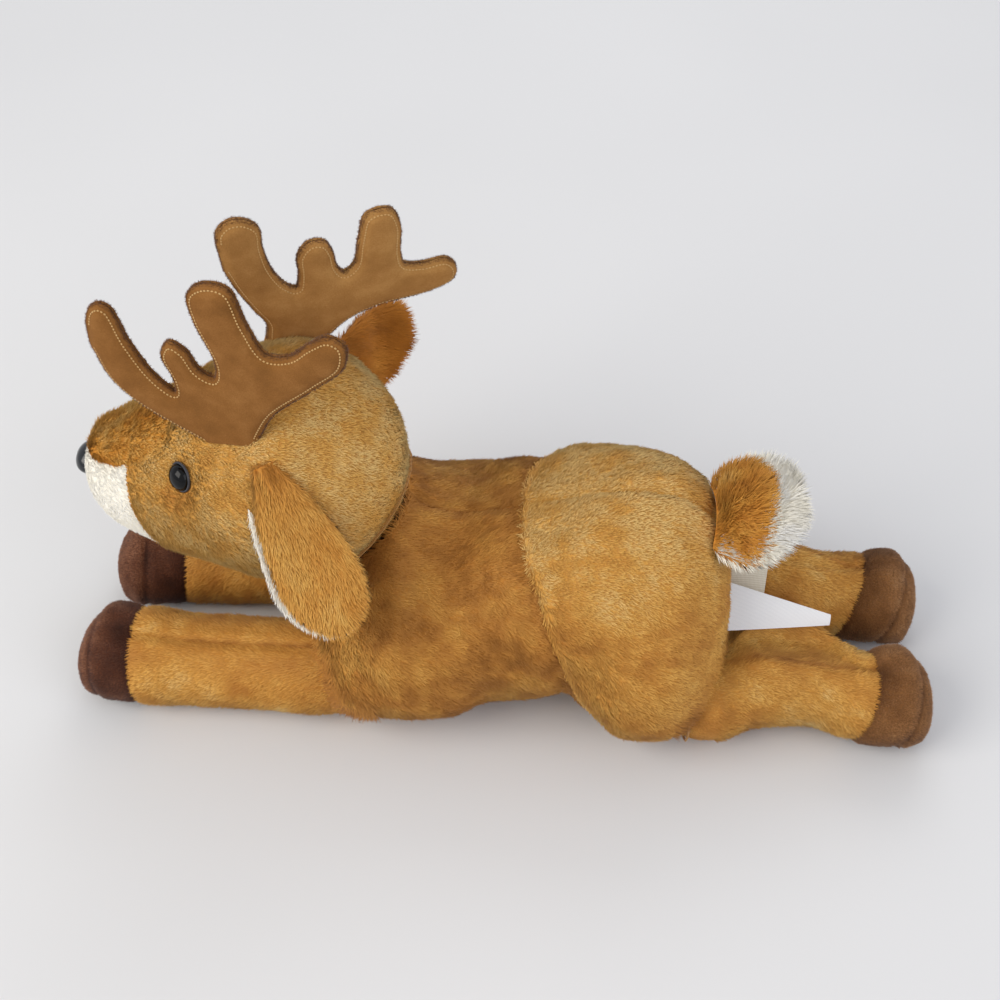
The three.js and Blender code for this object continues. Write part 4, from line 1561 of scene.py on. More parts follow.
@dataclass
class Head(Upholstered):
    """The stuffed head: a ball that tapers to the muzzle, in four panels with eyes and nose.

    Args:
        snout: Length from the middle of the ball to the tip.
        shares: Towards the nose: where, rise of the middle line, half height, half width.
        bridge_seam: Line under the deep tan patch, as shares of the snout and of the radius.
        cream_seam: Line behind the cream patch.
        eye_radius: Radius of an eye's rim.
        eye_height: Height of its dome.
        eye_rim: Height of its rim.
        eye_sink: How deep it sits in the pile.
        eye_ahead: Eyes in front of the middle of the ball.
        eye_rise: Eyes above it.
        eye_turns: How far an eye looks forwards from straight aside, and up, in degrees.
        shank: Radius and length of the shanks behind the eyes and the nose.
        nose_size: Half depth, half width and half height of the nose.
        nose_shift: Middle of the nose behind the tip and below the middle of the ball.
        neck_angle: How steeply the neck's seam leans, in degrees.
        grid: Points round and along the outer form.
        swell: How far the filling may move a point of it.
        spare: How far it is drawn in to leave room for that.
    """

    snout: float = 76.0
    shares: tuple = (
        (0.00, 0.00, 1.00, 1.00),
        (0.24, -0.02, 0.925, 0.93),
        (0.53, -0.13, 0.745, 0.73),
        (0.68, -0.17, 0.655, 0.62),
        (0.82, -0.17, 0.54, 0.51),
        (0.93, -0.13, 0.38, 0.37),
        (0.98, -0.11, 0.20, 0.21),
        (1.00, -0.10, 0.00, 0.00),
    )
    bridge_seam: tuple = (
        (1.60, 0.08),
        (0.82, 0.13),
        (0.71, 0.21),
        (0.59, 0.36),
        (0.48, 0.54),
        (0.44, 2.00),
    )
    cream_seam: tuple = (
        (0.72, 0.40),
        (0.71, -0.07),
        (0.68, -0.28),
        (0.65, -0.47),
        (0.60, -0.75),
        (0.55, -2.00),
    )
    eye_radius: float = 5.5
    eye_height: float = 3.3
    eye_rim: float = 0.8
    eye_sink: float = 3.0
    eye_ahead: float = 33.5
    eye_rise: float = 15.0
    eye_turns: tuple = (44.0, 16.0)
    shank: tuple = (1.8, 9.0)
    nose_size: tuple = (5.5, 7.5, 6.0)
    nose_shift: tuple = (2.5, 4.5)
    neck_angle: float = 41.0
    grid: tuple = (112, 92)
    swell: float = 1.2
    spare: float = 0.2

    @property
    def nose_place(self) -> np.ndarray:
        """Middle of the nose."""
        back, low = self.nose_shift
        return SIZES.head + [back - self.snout, 0, -low]

    @property
    def eye_matrix(self) -> Matrix:
        """Frame of the left eye, which looks along its +X."""
        share = np.array([self.eye_ahead / self.snout])
        rise_at, tall, wide = table_at(self.shares, share, False)[0]
        radius = SIZES.head_radius
        up = (self.eye_rise - rise_at * radius) / (tall * radius)
        side = wide * radius * math.sqrt(1 - up * up)
        place = SIZES.head + [-self.eye_ahead, -side, self.eye_rise]
        yaw, pitch = (math.radians(v) for v in self.eye_turns)
        turn = Matrix.Rotation(-math.pi / 2 - yaw, 4, "Z") @ Matrix.Rotation(-pitch, 4, "Y")
        return Matrix.Translation(place.tolist()) @ turn

    def on_head(self, line: Sequence[tuple[float, float]]) -> np.ndarray:
        """A seam line in millimetres, smoothed, as x and z."""
        scale = np.array([-self.snout, SIZES.head_radius])
        return SIZES.head[[0, 2]] + rounded_line(line) * scale

    def shape(self, inset: float) -> Rule:
        """Gives the head's form.

        Args:
            inset: How far it is drawn in.

        Returns:
            Rule that places a sphere's vertices on it.
        """

        def place(share: np.ndarray, angle: np.ndarray) -> Points:
            """Places vertices on the head."""
            polar, back, along = on_ball(share)
            rise_at, tall, wide = table_at(self.shares, along, False).T
            radius = SIZES.head_radius - inset
            # The inset must not fold the snout's rings onto each other.
            least = 0.25 * radius * np.sqrt(1 - along**2)
            fronts = (np.maximum(v * SIZES.head_radius - inset, least) for v in (tall, wide))
            half_h, half_w = (
                np.where(back, radius * np.sin(polar), front) * ~at_pole(share) for front in fronts
            )
            x = np.where(back, radius * np.cos(polar), -along * (self.snout - inset))
            z = np.where(back, 0, rise_at * SIZES.head_radius) + half_h * np.sin(angle)
            return SIZES.head + np.stack([x, half_w * np.cos(angle), z], axis=1)

        return place

    def seam_distances(self, points: Points) -> tuple[np.ndarray, np.ndarray]:
        """Measures how far points lie from the seams, seen from the side.

        Args:
            points: The points.

        Returns:
            Distances to the bridge seam and to the cream seam.
        """
        flat = points[:, [0, 2]]
        seams = (self.bridge_seam, self.cream_seam)
        bridge, cream = (line_distance(flat, self.on_head(seam)) for seam in seams)
        return bridge, cream

    def on_bridge(self, points: Points) -> np.ndarray:
        """Finds the deep tan patch.

        Args:
            points: Roots of locks.

        Returns:
            Whether each point lies on it.
        """
        line = self.on_head(self.bridge_seam)
        order = np.argsort(line[:, 0])
        over = points[:, 2] > np.interp(points[:, 0], line[order, 0], line[order, 1])
        return over & (points[:, 0] < line[:, 0].max())

    def to_eye(self, points: Points, below: float = 0.0) -> np.ndarray:
        """Measures how far points lie from the nearer eye.

        Args:
            points: The points.
            below: How far below the eye the measure is taken.

        Returns:
            The distances.
        """
        side = MIDDLE - np.abs(points[:, 1] - MIDDLE)
        near = np.stack([points[:, 0], side, points[:, 2] + below], axis=1)
        return np.linalg.norm(near - np.array(self.eye_matrix.translation), axis=1)

    def creased(self, points: Points) -> Points:
        """Draws the outer form in along its seams, round the eyes and at the mouth."""
        x, y, z = points.T
        axis_z = SIZES.head_z - 0.10 * SIZES.head_radius
        inward = unit(np.stack([0 * x, MIDDLE - y, axis_z - z], axis=1))
        bridge, cream = self.seam_distances(points)
        depth = 1.1 * falloff(bridge, 3.0) + 0.8 * falloff(cream, 2.6)
        depth += falloff(y - MIDDLE, 3.0) * np.where(z < axis_z, 0.9, 0.5)
        depth *= 1 - rise(x, SIZES.head_x - 20, SIZES.head_x - 12)
        depth += 1.5 * falloff(self.to_eye(points) - self.eye_radius, 8.0)
        inner = x > SIZES.head_x + 0.55 * SIZES.head_radius
        lumps = 1.6 * cloud(points, 19.0, 41) + 0.7 * cloud(points, 8.0, 42)
        return points + inward * (depth - lumps * ~inner)[:, None]

    def held(self, points: Points) -> np.ndarray:
        """All but a band round the cheeks holds the cloth, and so do seams and eyes there."""
        bridge, cream = self.seam_distances(points)
        nose = np.linalg.norm(points - self.nose_place, axis=1)
        near = (bridge < 1.5) | (cream < 1.5) | (self.to_eye(points) < 8) | (nose < 12)
        return near | (np.abs(points[:, 0] - SIZES.head_x + 6) > 18)

    def tone(self, points: Points) -> np.ndarray:
        """Painted shade at the seams and round the eyes, painted light round the back of the cheek.
        """
        bridge, cream = self.seam_distances(points)
        front = points[:, 0] < SIZES.head_x - 10
        # Painted shade in the creases of the bridge and cream seams.
        shade = (0.18 * falloff(bridge, 2.6) + 0.12 * falloff(cream, 2.0)) * front
        # Painted shade in the hollow round and under each eye.
        shade = shade + 0.26 * falloff(self.to_eye(points, 4.0) - 6, 7.0)
        # Painted light round the back of the cheek.
        pale = 0.12 * falloff(points[:, 0] - SIZES.head_x - 16, 16.0)
        streak = self.on_bridge(points) * (0.3 * cloud(points * [0.5, 1, 1], 4.0, 53) + 0.04)
        # The high base tone paints the light on the cheeks.
        return 0.82 + mottle(points, 12.0, 51) - shade + pale + streak

    def flow(self, points: Points) -> Points:
        """Brushed from the nose to the back of the head."""
        return unit(points - self.nose_place) + [0.7, 0, -0.15] + 0.6 * drift(points, 22.0, 60)

    def trim(self, points: Points) -> np.ndarray:
        """Short round the nose and inside the neck, and none under the eyes."""
        eye = self.to_eye(points) - self.eye_radius
        nose = np.linalg.norm(points - self.nose_place, axis=1)
        turn = math.radians(self.neck_angle)
        behind = (points - SIZES.head) @ [math.cos(turn), 0, -math.sin(turn)]
        length = 1 - 0.45 * falloff(nose - 6, 8.0)
        length = np.where(eye < -0.9, 0, length)
        return np.where(behind > 0.97 * SIZES.head_radius, 0.35, length)

    def build(self) -> None:
        """Builds the face panels, the eyes and the nose."""
        shell = stuffed("head", self)
        radius, length = self.shank
        back, seat = -length - self.eye_sink, -self.eye_sink - 0.3
        wide, narrow = self.eye_radius + 0.3, radius + 0.35
        profile = ((0, back), (narrow, back), (narrow, seat), (wide, seat), (wide, 12), (0, 12))
        room = turned("eye_seat", profile, self.eye_matrix, INSIDE)
        nose_room = self.nose_form("nose_room", SIZES.seat_gap, INSIDE)
        carve(shell, Cut.AWAY, room, mirrored(room, "eye_seat_right"), nose_room)
        gap = SIZES.seam_gap / 2
        bridge, cream = self.on_head(self.bridge_seam), self.on_head(self.cream_seam)

        def bridge_tool(shift: float) -> Piece:
            """Covers the deep tan patch, up to its seam moved by a shift."""
            line = [(x, z + shift) for x, z in bridge]
            return slab("bridge_tool", [*line, (-FAR, line[-1][1])])

        def cream_tool(shift: float) -> Piece:
            """Covers the cream patch, up to its seam moved by a shift."""
            line = [(x - shift, z) for x, z in cream]
            return slab("cream_tool", [*line, (-FAR, line[-1][1]), (-FAR, line[0][1])])

        def panel(name: str, tool: Piece) -> Piece:
            """Takes a panel out of the shell."""
            return carve(copy_of(shell, name), Cut.KEEP, tool)

        top = panel("bridge_panel_cloth", bridge_tool(gap))
        carve(shell, Cut.AWAY, bridge_tool(-gap))
        muzzle = panel("muzzle_panel_cloth", cream_tool(gap))
        carve(shell, Cut.AWAY, cream_tool(-gap))
        left = panel("face_left_cloth", half_space("left_half", -gap))
        right = panel("face_right_cloth", half_space("right_half", gap))
        drop(shell)
        patch = Nap(length=2.8, width=0.52, density=3.0, lean=58, sway=0.7, clump=3.2)
        soft = Nap(length=1.6, width=0.5, density=3.6, lean=70, spread=0.1, sway=0.1, grain=0.03)
        soft = replace(soft, tufts=0.15, bright=1.0)
        self.cover(top, DEEP, "deep_pile", "head", patch, seed=201, padded=0.9)
        self.cover(muzzle, CREAM, "cream_pile", "head", soft, seed=211, padded=0.9)
        calm = Nap(sway=0.35, tufts=0.5)
        self.cover(left, GOLDEN, "golden_pile", "head", calm, seed=221, padded=0.9)
        self.cover(right, GOLDEN, "golden_pile", "head", calm, seed=231, padded=0.9)
        self.build_eyes()
        self.build_nose()

    def build_eyes(self) -> None:
        """Spins both eyes: a glossy dome in a grey rim on a shank."""
        radius, rim, (thin, length) = self.eye_radius, self.eye_rim, self.shank
        dome = radius - 0.75
        profile = [(0, -length), (thin - 0.3, -length), (thin, 0.4 - length), (thin, 0)]
        profile += [(radius - 0.25, 0), (radius, 0.25), (radius, rim - 0.1)]
        profile += [(radius - 0.15, rim + 0.15), (radius - 0.4, rim + 0.22)]
        profile += [(radius - 0.65, rim + 0.1), (dome, rim - 0.15)]
        for step in range(1, 12):
            turn = math.pi / 2 * step / 12
            profile.append((dome * math.cos(turn), rim + self.eye_height * math.sin(turn)))
        profile.append((0.0, rim + self.eye_height))
        place = self.eye_matrix @ Matrix.Translation((-self.eye_sink, 0, 0))
        left = turned("eye_left_moulding", profile, place)
        back = place.inverted()
        for face in left.data.polygons:
            local = back @ (Vector(face.center) / MM)
            on_rim = local.x < rim - 0.05 or math.hypot(local.y, local.z) > dome + 0.05
            face.material_index = int(on_rim)
        right = mirrored(left, "eye_right_moulding")
        for eye in (left, right):
            dress(eye, [EYE, EYE_RIM], "head", "eye_plastic", eye.name.removesuffix("_moulding"))

    def nose_form(self, name: str, room: float, side: int) -> Piece:
        """The nose: a rounded triangle with a lobe below and a shallow notch in front.

        Args:
            name: The object's name.
            room: How far it is drawn outwards, above zero for a cutting tool.
            side: Material index.

        Returns:
            The object.
        """
        deep, wide, tall = (size + room for size in self.nose_size)
        notch, lobe = (0.0, 0.0) if room > 0 else (0.10, 0.07)

        def shape(share: np.ndarray, angle: np.ndarray) -> Points:
            """Places vertices on the nose."""
            polar = share * math.pi
            up, across = np.sin(polar) * np.sin(angle), np.sin(polar) * np.cos(angle)
            ahead = np.cos(polar)
            front = ahead > 0
            dent = 1 - notch * falloff(across, 0.28) * front * (up < 0.5)
            bulge = 1 + lobe * falloff(up + 0.62, 0.3) * front
            narrow = 1 - 0.28 * np.clip(-up, 0, 1)
            local = [-deep * ahead * dent * bulge, wide * across * narrow, tall * up]
            return self.nose_place + np.stack(local, axis=1)

        return formed(name, *BALL_GRID, shape, side)

    def build_nose(self) -> None:
        """Builds the nose with its shank."""
        nose = self.nose_form("nose_moulding", 0.0, OUTSIDE)
        radius, tail = self.shank[0], self.nose_size[0] + self.shank[1]
        profile = ((0, 0.5), (radius, 0.5), (radius, tail - 0.3), (radius - 0.3, tail), (0, tail))
        shank = turned("nose_shank", profile, Matrix.Translation(self.nose_place.tolist()))
        dress(carve(nose, Cut.JOIN, shank), [NOSE], "head", "nose_plastic", "nose")


HEAD = Head()


@dataclass
class Leaf(Upholstered):
    """A flat part of two cloth leaves sewn back to back, which the ears and the tail share.

    Args:
        width: Greatest width.
        shares: Along the leaf: where, half width and thickness.
    """

    width: float
    shares: tuple

    @property
    def matrix(self) -> Matrix:
        """The leaf's frame, with +X to its tip and +Z out of its back."""
        raise NotImplementedError

    def bow(self, along: np.ndarray, across: np.ndarray) -> np.ndarray:
        """Height of the middle sheet over the leaf's own plane."""
        raise NotImplementedError

    def local(self, points: Points) -> Points:
        """The points in the leaf's own frame."""
        return seen_from(self.matrix, points)

    def clear_of(self, leaf: Piece, carrier: Rule, swing: Optional[Matrix]) -> None:
        """Cuts a leaf clear of what carries it, at rest and swung.

        Args:
            leaf: The leaf.
            carrier: Rule of the form that carries it.
            swing: How the leaf sees that form turn when it swings, if it swings towards it.
        """
        tools = [formed("carrier", *FINE_GRID, carrier, INSIDE)]
        if swing is not None:
            swept = formed("carrier_swept", *FINE_GRID, carrier, INSIDE)
            tools.append(reshape(swept, lambda places: through(swing, places)))
        carve(leaf, Cut.AWAY, *tools)

    def layer(self, name: str, length: float, upper: float, under: float, sides: tuple) -> Piece:
        """One leaf.

        Args:
            name: The object's name.
            length: Its length.
            upper: Thickness above the middle sheet.
            under: Thickness below it.
            sides: How far its edge is drawn in on the -Y side and on the +Y side.

        Returns:
            The object.
        """

        def shape(share: np.ndarray, angle: np.ndarray) -> Points:
            """Places vertices on the leaf."""
            along = (1 - np.cos(share * math.pi)) / 2
            wide, thick = table_at(self.shares, along, True).T
            inner = ~at_pole(share)
            across = np.cos(angle)
            half = (wide * self.width / 2 - np.where(across < 0, *sides)) * inner
            tall = np.where(np.sin(angle) < 0, under, upper) * thick * inner
            soft = np.sign(np.sin(angle)) * np.abs(np.sin(angle)) ** 0.85
            side = math.copysign(SIZES.seam_gap / 2, upper - under)
            z = side + tall * soft + self.bow(along, across)
            return through(self.matrix, np.stack([along * length, half * across, z], axis=1))

        return formed(name, *FINE_GRID, shape)


@dataclass
class Ear(Leaf):
    """One ear: an outer leaf and a lining leaf, cupped along their length.

    Args:
        side: left or right.
        root: Root measured from the middle of the head ball.
        tip: Tip, measured the same way.
        face: The way its back faces.
        flap: How far its back swings towards the head, in degrees.
        cloth: Pile of the outer leaf.
        slot: The record's slot of the outer leaf.
        nap: How the outer pile stands.
        show: How far the lining stands out in front and the outer leaf behind.
        tuck: How far the lining stays inside all round.
        reach: Share of the length that the leaves fill.
        thickness: Thickness of the outer leaf.
        lining: Thickness of the lining.
        cup: How far the middle lies below the edges.
        shade: Middle tone of its pile, set low on the far ear as painted shade.
        root_lift: How far its root stands off the head.
        lining_pile: Length of the lining's pile.
        seed: Seed of its pile.
    """

    width: float = 33.0
    shares: tuple = (
        (0.00, 0.28, 0.75),
        (0.06, 0.42, 1.00),
        (0.25, 0.70, 1.00),
        (0.50, 0.91, 1.00),
        (0.70, 1.00, 1.00),
        (0.86, 0.88, 1.00),
        (0.95, 0.58, 0.90),
        (1.00, 0.16, 0.55),
    )
    side: str = "left"
    root: tuple = (-2, -31.5, 26.5)
    tip: tuple = (25, -58, -26)
    face: tuple = (-0.12, -0.75, 0.65)
    flap: float = 0.0
    cloth: PileCloth = ORANGE
    slot: str = "golden_pile"
    nap: Nap = Nap(length=3.2, width=0.5, density=3.4, lean=64, spread=0.12, clump=5.0)
    show: float = 2.6
    tuck: float = 0.0
    reach: float = 1.0
    thickness: float = 5.0
    lining: float = 3.0
    cup: float = 3.0
    shade: float = 0.60
    root_lift: float = 2.4
    lining_pile: float = 2.4
    seed: int = 301

    @property
    def matrix(self) -> Matrix:
        """The ear's frame."""
        root = Vector(SIZES.head) + Vector(self.root)
        along = (Vector(self.tip) - Vector(self.root)).normalized()
        face = Vector(self.face)
        face = (face - along * face.dot(along)).normalized()
        axes = Matrix((along, face.cross(along).normalized(), face)).transposed()
        return Matrix.Translation(root) @ axes.to_4x4()

    @property
    def length(self) -> float:
        """Length from root to tip."""
        return (Vector(self.tip) - Vector(self.root)).length

    def bow(self, along: np.ndarray, across: np.ndarray) -> np.ndarray:
        """Cupped, with gathers at the root, which lies on the head, and a slow wave."""
        cup = self.cup * np.sin(math.pi * along)
        near = falloff(along, 0.35)
        gather = 0.7 * near * np.sin(4.5 * across * math.pi / 2)
        wave = 0.8 * np.sin(along * 7.0 + across * 1.6) * (1 - falloff(along, 0.3))
        lift = self.root_lift * falloff(along - 0.2, 0.34)
        return cup * (across**2 - 1) + gather + wave + lift

    def flow(self, points: Points) -> Points:
        """From root to tip, fanning out over the edge."""
        fan = self.local(points)[:, 1] / (self.width / 2)
        local = np.stack([1 + 0 * fan, 0.55 * fan * np.abs(fan), 0 * fan], axis=1)
        return turned_by(self.matrix, local) + 0.4 * drift(points, 9.0, 70)

    def tone(self, points: Points) -> np.ndarray:
        """Streaked along the ear and darker at the root."""
        place = self.local(points)
        streak = cloud(place * [0.25, 1.4, 1.0], 5.0, 74) + 0.5 * cloud(points, 9.0, 75)
        edge = np.abs(place[:, 1]) / (self.width / 2)
        return self.shade + 0.45 * streak - 0.24 * falloff(place[:, 0], 14.0) + 0.1 * edge**3

    def trim(self, points: Points) -> np.ndarray:
        """Longer at the tip."""
        return 0.95 + 0.15 * falloff(self.local(points)[:, 0] - self.length, 10.0)

    def build(self) -> None:
        """Builds the leaf, the lining and their pile."""
        length, show = self.length * self.reach, self.show
        outer = (self.thickness - 0.8, 0.0, (0.4 + show, 0.2))
        lining = (0.0, self.lining - 0.4, (0.2 + self.tuck, 0.4 + show + self.tuck))
        white = Nap(self.lining_pile, width=0.5, density=3.4, lean=62, spread=0.14, bright=0.7)
        matrix = self.matrix
        swing = swung(matrix.translation, -self.flap, matrix.col[1].to_3d()) if self.flap else None
        for name, form, cloth, slot, nap, step in (
            (f"ear_{self.side}", outer, self.cloth, self.slot, self.nap, 0),
            (f"ear_lining_{self.side}", lining, CREAM, "cream_pile", white, 10),
        ):
            leaf = self.layer(f"{name}_cloth", length, *form)
            self.clear_of(leaf, HEAD.shape(-SIZES.seat_gap), swing)
            self.cover(leaf, cloth, slot, f"{self.side}_ear", nap, self.seed + step, padded=0.4)


@dataclass
class Tail(Leaf):
    """The tail: a tan upper layer on a white underside, drooping on the near side.

    Args:
        top_length: Length of the upper layer.
        under_length: Length of the white layer.
        thickness: Thickness of the upper and of the white layer.
        root_inset: Root in front of the body's rear end.
        root_z: Height of the root.
        tilt: How far it points up, in degrees.
        lift: How far it swings, in degrees.
        droop: How far the near edge hangs.
    """

    width: float = 42.0
    shares: tuple = (
        (0.00, 0.72, 0.20),
        (0.20, 0.98, 0.60),
        (0.45, 1.04, 1.00),
        (0.70, 0.90, 1.00),
        (0.90, 0.58, 0.75),
        (1.00, 0.10, 0.15),
    )
    top_length: float = 26.0
    under_length: float = 33.0
    thickness: tuple = (7.0, 6.0)
    root_inset: float = 11.0
    root_z: float = 84.0
    tilt: float = 32.0
    lift: float = 25.0
    droop: float = 7.5

    @property
    def root(self) -> Vector:
        """The tail's root."""
        return Vector((TORSO.front + TORSO.length - self.root_inset, MIDDLE, self.root_z))

    @property
    def matrix(self) -> Matrix:
        """The tail's frame."""
        turn = Matrix.Rotation(math.radians(-self.tilt), 4, "Y")
        return Matrix.Translation(self.root) @ turn

    def bow(self, along: np.ndarray, across: np.ndarray) -> np.ndarray:
        """The near side hangs."""
        return -self.droop * np.clip(-across, 0, 1) ** 2 * rise(along, 0.0, 0.35)

    def flow(self, points: Points) -> Points:
        """From root to tip, fanning out."""
        fan = self.local(points)[:, 1] / (self.width / 2)
        local = np.stack([1 + 0 * fan, 0.9 * fan, -0.3 * (fan < 0) * fan**2], axis=1)
        return turned_by(self.matrix, local) + 0.6 * drift(points, 7.0, 120)

    def tone(self, points: Points) -> np.ndarray:
        """Streaked, with pale tips at the end."""
        place = self.local(points)
        streak = 0.5 * cloud(place * [0.35, 1.2, 1.0], 4.0, 125) + 0.25 * cloud(points, 8.0, 126)
        return 0.56 + streak + 0.2 * falloff(place[:, 0] - self.top_length, 9.0)

    def build(self) -> None:
        """Builds both layers and their pile."""
        up, down = self.thickness
        long = Nap(length=4.6, width=0.55, density=3.4, lean=58, spread=0.22, clump=3.4)
        white = Nap(length=5.2, width=0.6, density=4.4, lean=56, spread=0.1, grain=0.1, bright=1.2)
        swing = swung(self.root, self.lift, "Y")
        for name, form, cloth, slot, nap, seed in (
            ("tail_top", (self.top_length, up - 1.5, 0.0), DEEP, "deep_pile", long, 601),
            ("tail_underside", (self.under_length, 0.0, down - 1), WHITE, "cream_pile", white, 611),
        ):
            layer = self.layer(f"{name}_cloth", *form, (0.6, 0.6))
            self.clear_of(layer, TORSO.shape(-SIZES.seat_gap), swing)
            self.cover(layer, cloth, slot, "tail", nap, seed, padded=0.5)


def smooth_curve(points: np.ndarray, steps: int) -> np.ndarray:
    """A centripetal curve through flat points.

    Args:
        points: The points.
        steps: Steps between two of them.

    Returns:
        The curve's points.
    """
    ends = np.concatenate([[2 * points[0] - points[1]], points, [2 * points[-1] - points[-2]]])
    result = []
    for p in zip(ends[:-3], ends[1:-2], ends[2:-1], ends[3:]):
        t = [0.0]
        for a, b in zip(p[:-1], p[1:]):
            t.append(t[-1] + max(np.linalg.norm(b - a), 1e-6) ** 0.5)
        for k in range(steps):
            now = t[1] + (t[2] - t[1]) * k / steps
            level = p
            for spans in (((0, 1), (1, 2), (2, 3)), ((0, 2), (1, 3)), ((1, 2),)):
                level = [
                    ((t[b] - now) * level[i] + (now - t[a]) * level[i + 1]) / (t[b] - t[a])
                    for i, (a, b) in enumerate(spans)
                ]
            result.append(level[0])
    result.append(points[-1])
    return np.array(result)


@dataclass
class Antler(Upholstered):
    """One antler: two suede layers topstitched round a padding layer.

    Args:
        side: left or right.
        place: Root measured from the middle of the head ball.
        turns: Turn, lean and tilt in degrees.
        tines: Outline from the front tine to the root, as shares of span and height.
        heel: Outline from the heel back up to the front tine.
        span: Width of the antler.
        height: Its height.
        root_depth: How deep the outline goes below the root.
        suede: Thickness of a layer.
        padding: Thickness of the padding.
        padding_margin: How far the padding stays inside the edge.
        layer_gap: Gap between two layers.
        draw: How far the layers are drawn together at the edge.
        stitch_margin: How far the stitching runs inside the edge.
        stitch: Pitch, length, width and height of a stitch.
        widest_step: Longest step of the stitched line, past which it jumps to another tine.
        raw_edge: Width of the edge that stands in fuzz.
        cell: Size of the cells that a layer is puffed by.
        finish: Its suede.
        seed: Seed of its fuzz.
    """

    side: str
    place: tuple
    turns: tuple
    tines: tuple
    heel: tuple
    span: float = 83.0
    height: float = 66.0
    root_depth: float = 14.0
    suede: float = 1.2
    padding: float = 2.0
    padding_margin: float = 2.6
    layer_gap: float = 0.3
    draw: float = 1.15
    stitch_margin: float = 1.5
    stitch: tuple = (1.25, 0.9, 0.3, 0.28)
    widest_step: float = 3.2
    raw_edge: float = 0.42
    cell: float = 1.1
    finish: Mottled = SUEDE
    seed: int = 402

    @property
    def matrix(self) -> Matrix:
        """The antler's frame: outline in its XY plane."""
        return frame_at((SIZES.head + np.array(self.place)).tolist(), self.turns)

    def outline(self) -> np.ndarray:
        """The outline in millimetres, closed from the last point to the first."""
        scale = np.array([self.span, self.height])
        top, bottom = (smooth_curve(np.array(t) * scale, 9) for t in (self.tines, self.heel))
        root = [[top[-1][0], -self.root_depth], [bottom[0][0], -self.root_depth]]
        return np.concatenate([top, root, bottom])

    def to_edge(self, flat: np.ndarray) -> np.ndarray:
        """Distance of flat points to the outline."""
        outline = self.outline()
        return line_distance(flat, np.concatenate([outline, outline[:1]]))

    def drawn_in(self, margin: float) -> np.ndarray:
        """The outline moved inwards, without points that come too near another edge.

        Args:
            margin: How far.

        Returns:
            The points.
        """
        outline = self.outline()
        before, after = np.roll(outline, 1, axis=0), np.roll(outline, -1, axis=0)
        run = unit(after - before)
        area = np.sum(outline[:, 0] * after[:, 1] - after[:, 0] * outline[:, 1])
        inward = np.stack([-run[:, 1], run[:, 0]], axis=1) * math.copysign(1, area)
        moved = outline + inward * margin
        return moved[self.to_edge(moved) > margin * 0.96]

    def sheet(self, name: str, outline: np.ndarray, low: float, high: float) -> Piece:
        """A layer cut from an outline, in small cells so that it can be puffed.

        Args:
            name: The object's name.
            outline: Its outline.
            low: Its lower face.
            high: Its upper face.

        Returns:
            The object, flat in the antler's own frame.
        """
        form = bmesh.new()
        form.faces.new([form.verts.new((x * MM, y * MM, low * MM)) for x, y in outline])
        for axis, way in enumerate(((1.0, 0.0, 0.0), (0.0, 1.0, 0.0))):
            low_end, high_end = outline[:, axis].min(), outline[:, axis].max()
            for cut in np.arange(low_end + self.cell, high_end, self.cell):
                whole = form.verts[:] + form.edges[:] + form.faces[:]
                place = Vector(way) * float(cut) * MM
                bmesh.ops.bisect_plane(form, geom=whole, dist=1e-8, plane_co=place, plane_no=way)
        extruded(form, (0, 0, (high - low) * MM))
        return outward(form, name)

    def puffed(self, points: Points, outer: float) -> Points:
        """Draws a layer in at its edge, sinks it along the stitching and puffs it between.

        Args:
            points: The layer's vertices.
            outer: Height of the face that shows.

        Returns:
            The moved vertices.
        """
        gap = self.to_edge(points[:, :2])
        out = math.copysign(1, outer)
        shown = np.abs(points[:, 2] - outer) < 1e-3
        lift = 0.75 * (1 - np.exp(-np.maximum(gap - self.stitch_margin, 0) / 2.5))
        lift = lift - 0.3 * falloff(gap - self.stitch_margin, 1.1) - 0.3 * falloff(gap, 0.7)
        moved = points.copy()
        moved[:, 2] += out * (lift * shown - self.draw * falloff(gap, self.padding_margin))
        moved[:, 2] += self.bend(points)
        moved[:, :2] += 0.25 * drift(points, 1.8, 82)[:, :2]
        return moved

    def bend(self, points: Points) -> np.ndarray:
        """How far the whole antler stands out of its plane."""
        return 1.3 * cloud(points * [1, 1, 0], 30.0, 81)

    def stitches(self, name: str, outer: float) -> Piece:
        """Lays the topstitching on one face.

        Args:
            name: The object's name.
            outer: Height of the face.

        Returns:
            The stitches as one object, in the antler's own frame.
        """
        line = self.drawn_in(self.stitch_margin)
        line = line[line[:, 1] > -2.0]
        steps = np.linalg.norm(np.diff(line, axis=0), axis=1)
        joined = np.concatenate([[0], np.cumsum(steps)])
        pitch, length, wide, tall = self.stitch
        form = bmesh.new()
        for spot in np.arange(pitch / 2, joined[-1], pitch):
            if steps[int(np.searchsorted(joined, spot)) - 1] > self.widest_step:
                continue
            a, b = (
                np.array([np.interp(spot + d, joined, line[:, c]) for c in range(2)])
                for d in (-length / 2, length / 2)
            )
            middle = np.array([[*((a + b) / 2), outer]])
            middle[0, 2] = self.puffed(middle, outer)[0, 2] + math.copysign(0.2, outer)
            turn = Matrix.Rotation(math.atan2(*(b - a)[::-1]), 4, "Z")
            size = Matrix.Diagonal((length / 2 * MM, wide * MM, tall * MM, 1))
            place = Matrix.Translation((middle[0] * MM).tolist()) @ turn @ size
            bmesh.ops.create_icosphere(form, subdivisions=1, radius=1, matrix=place)
        return outward(form, name)

    def settle(self, piece: Piece, cut: bool = True) -> Piece:
        """Puts a flat piece in its place.

        Args:
            piece: The piece.
            cut: Whether it ends where it meets the head.

        Returns:
            The same object.
        """
        reshape(piece, lambda places: through(self.matrix, places))
        if cut:
            carve(piece, Cut.AWAY, formed("antler_head", *FINE_GRID, HEAD.shape(0.2), INSIDE))
        return piece

    def flow(self, points: Points) -> Points:
        """Raw fibres stand any way."""
        return np.random.default_rng(SEED + 88).normal(0, 1, points.shape)

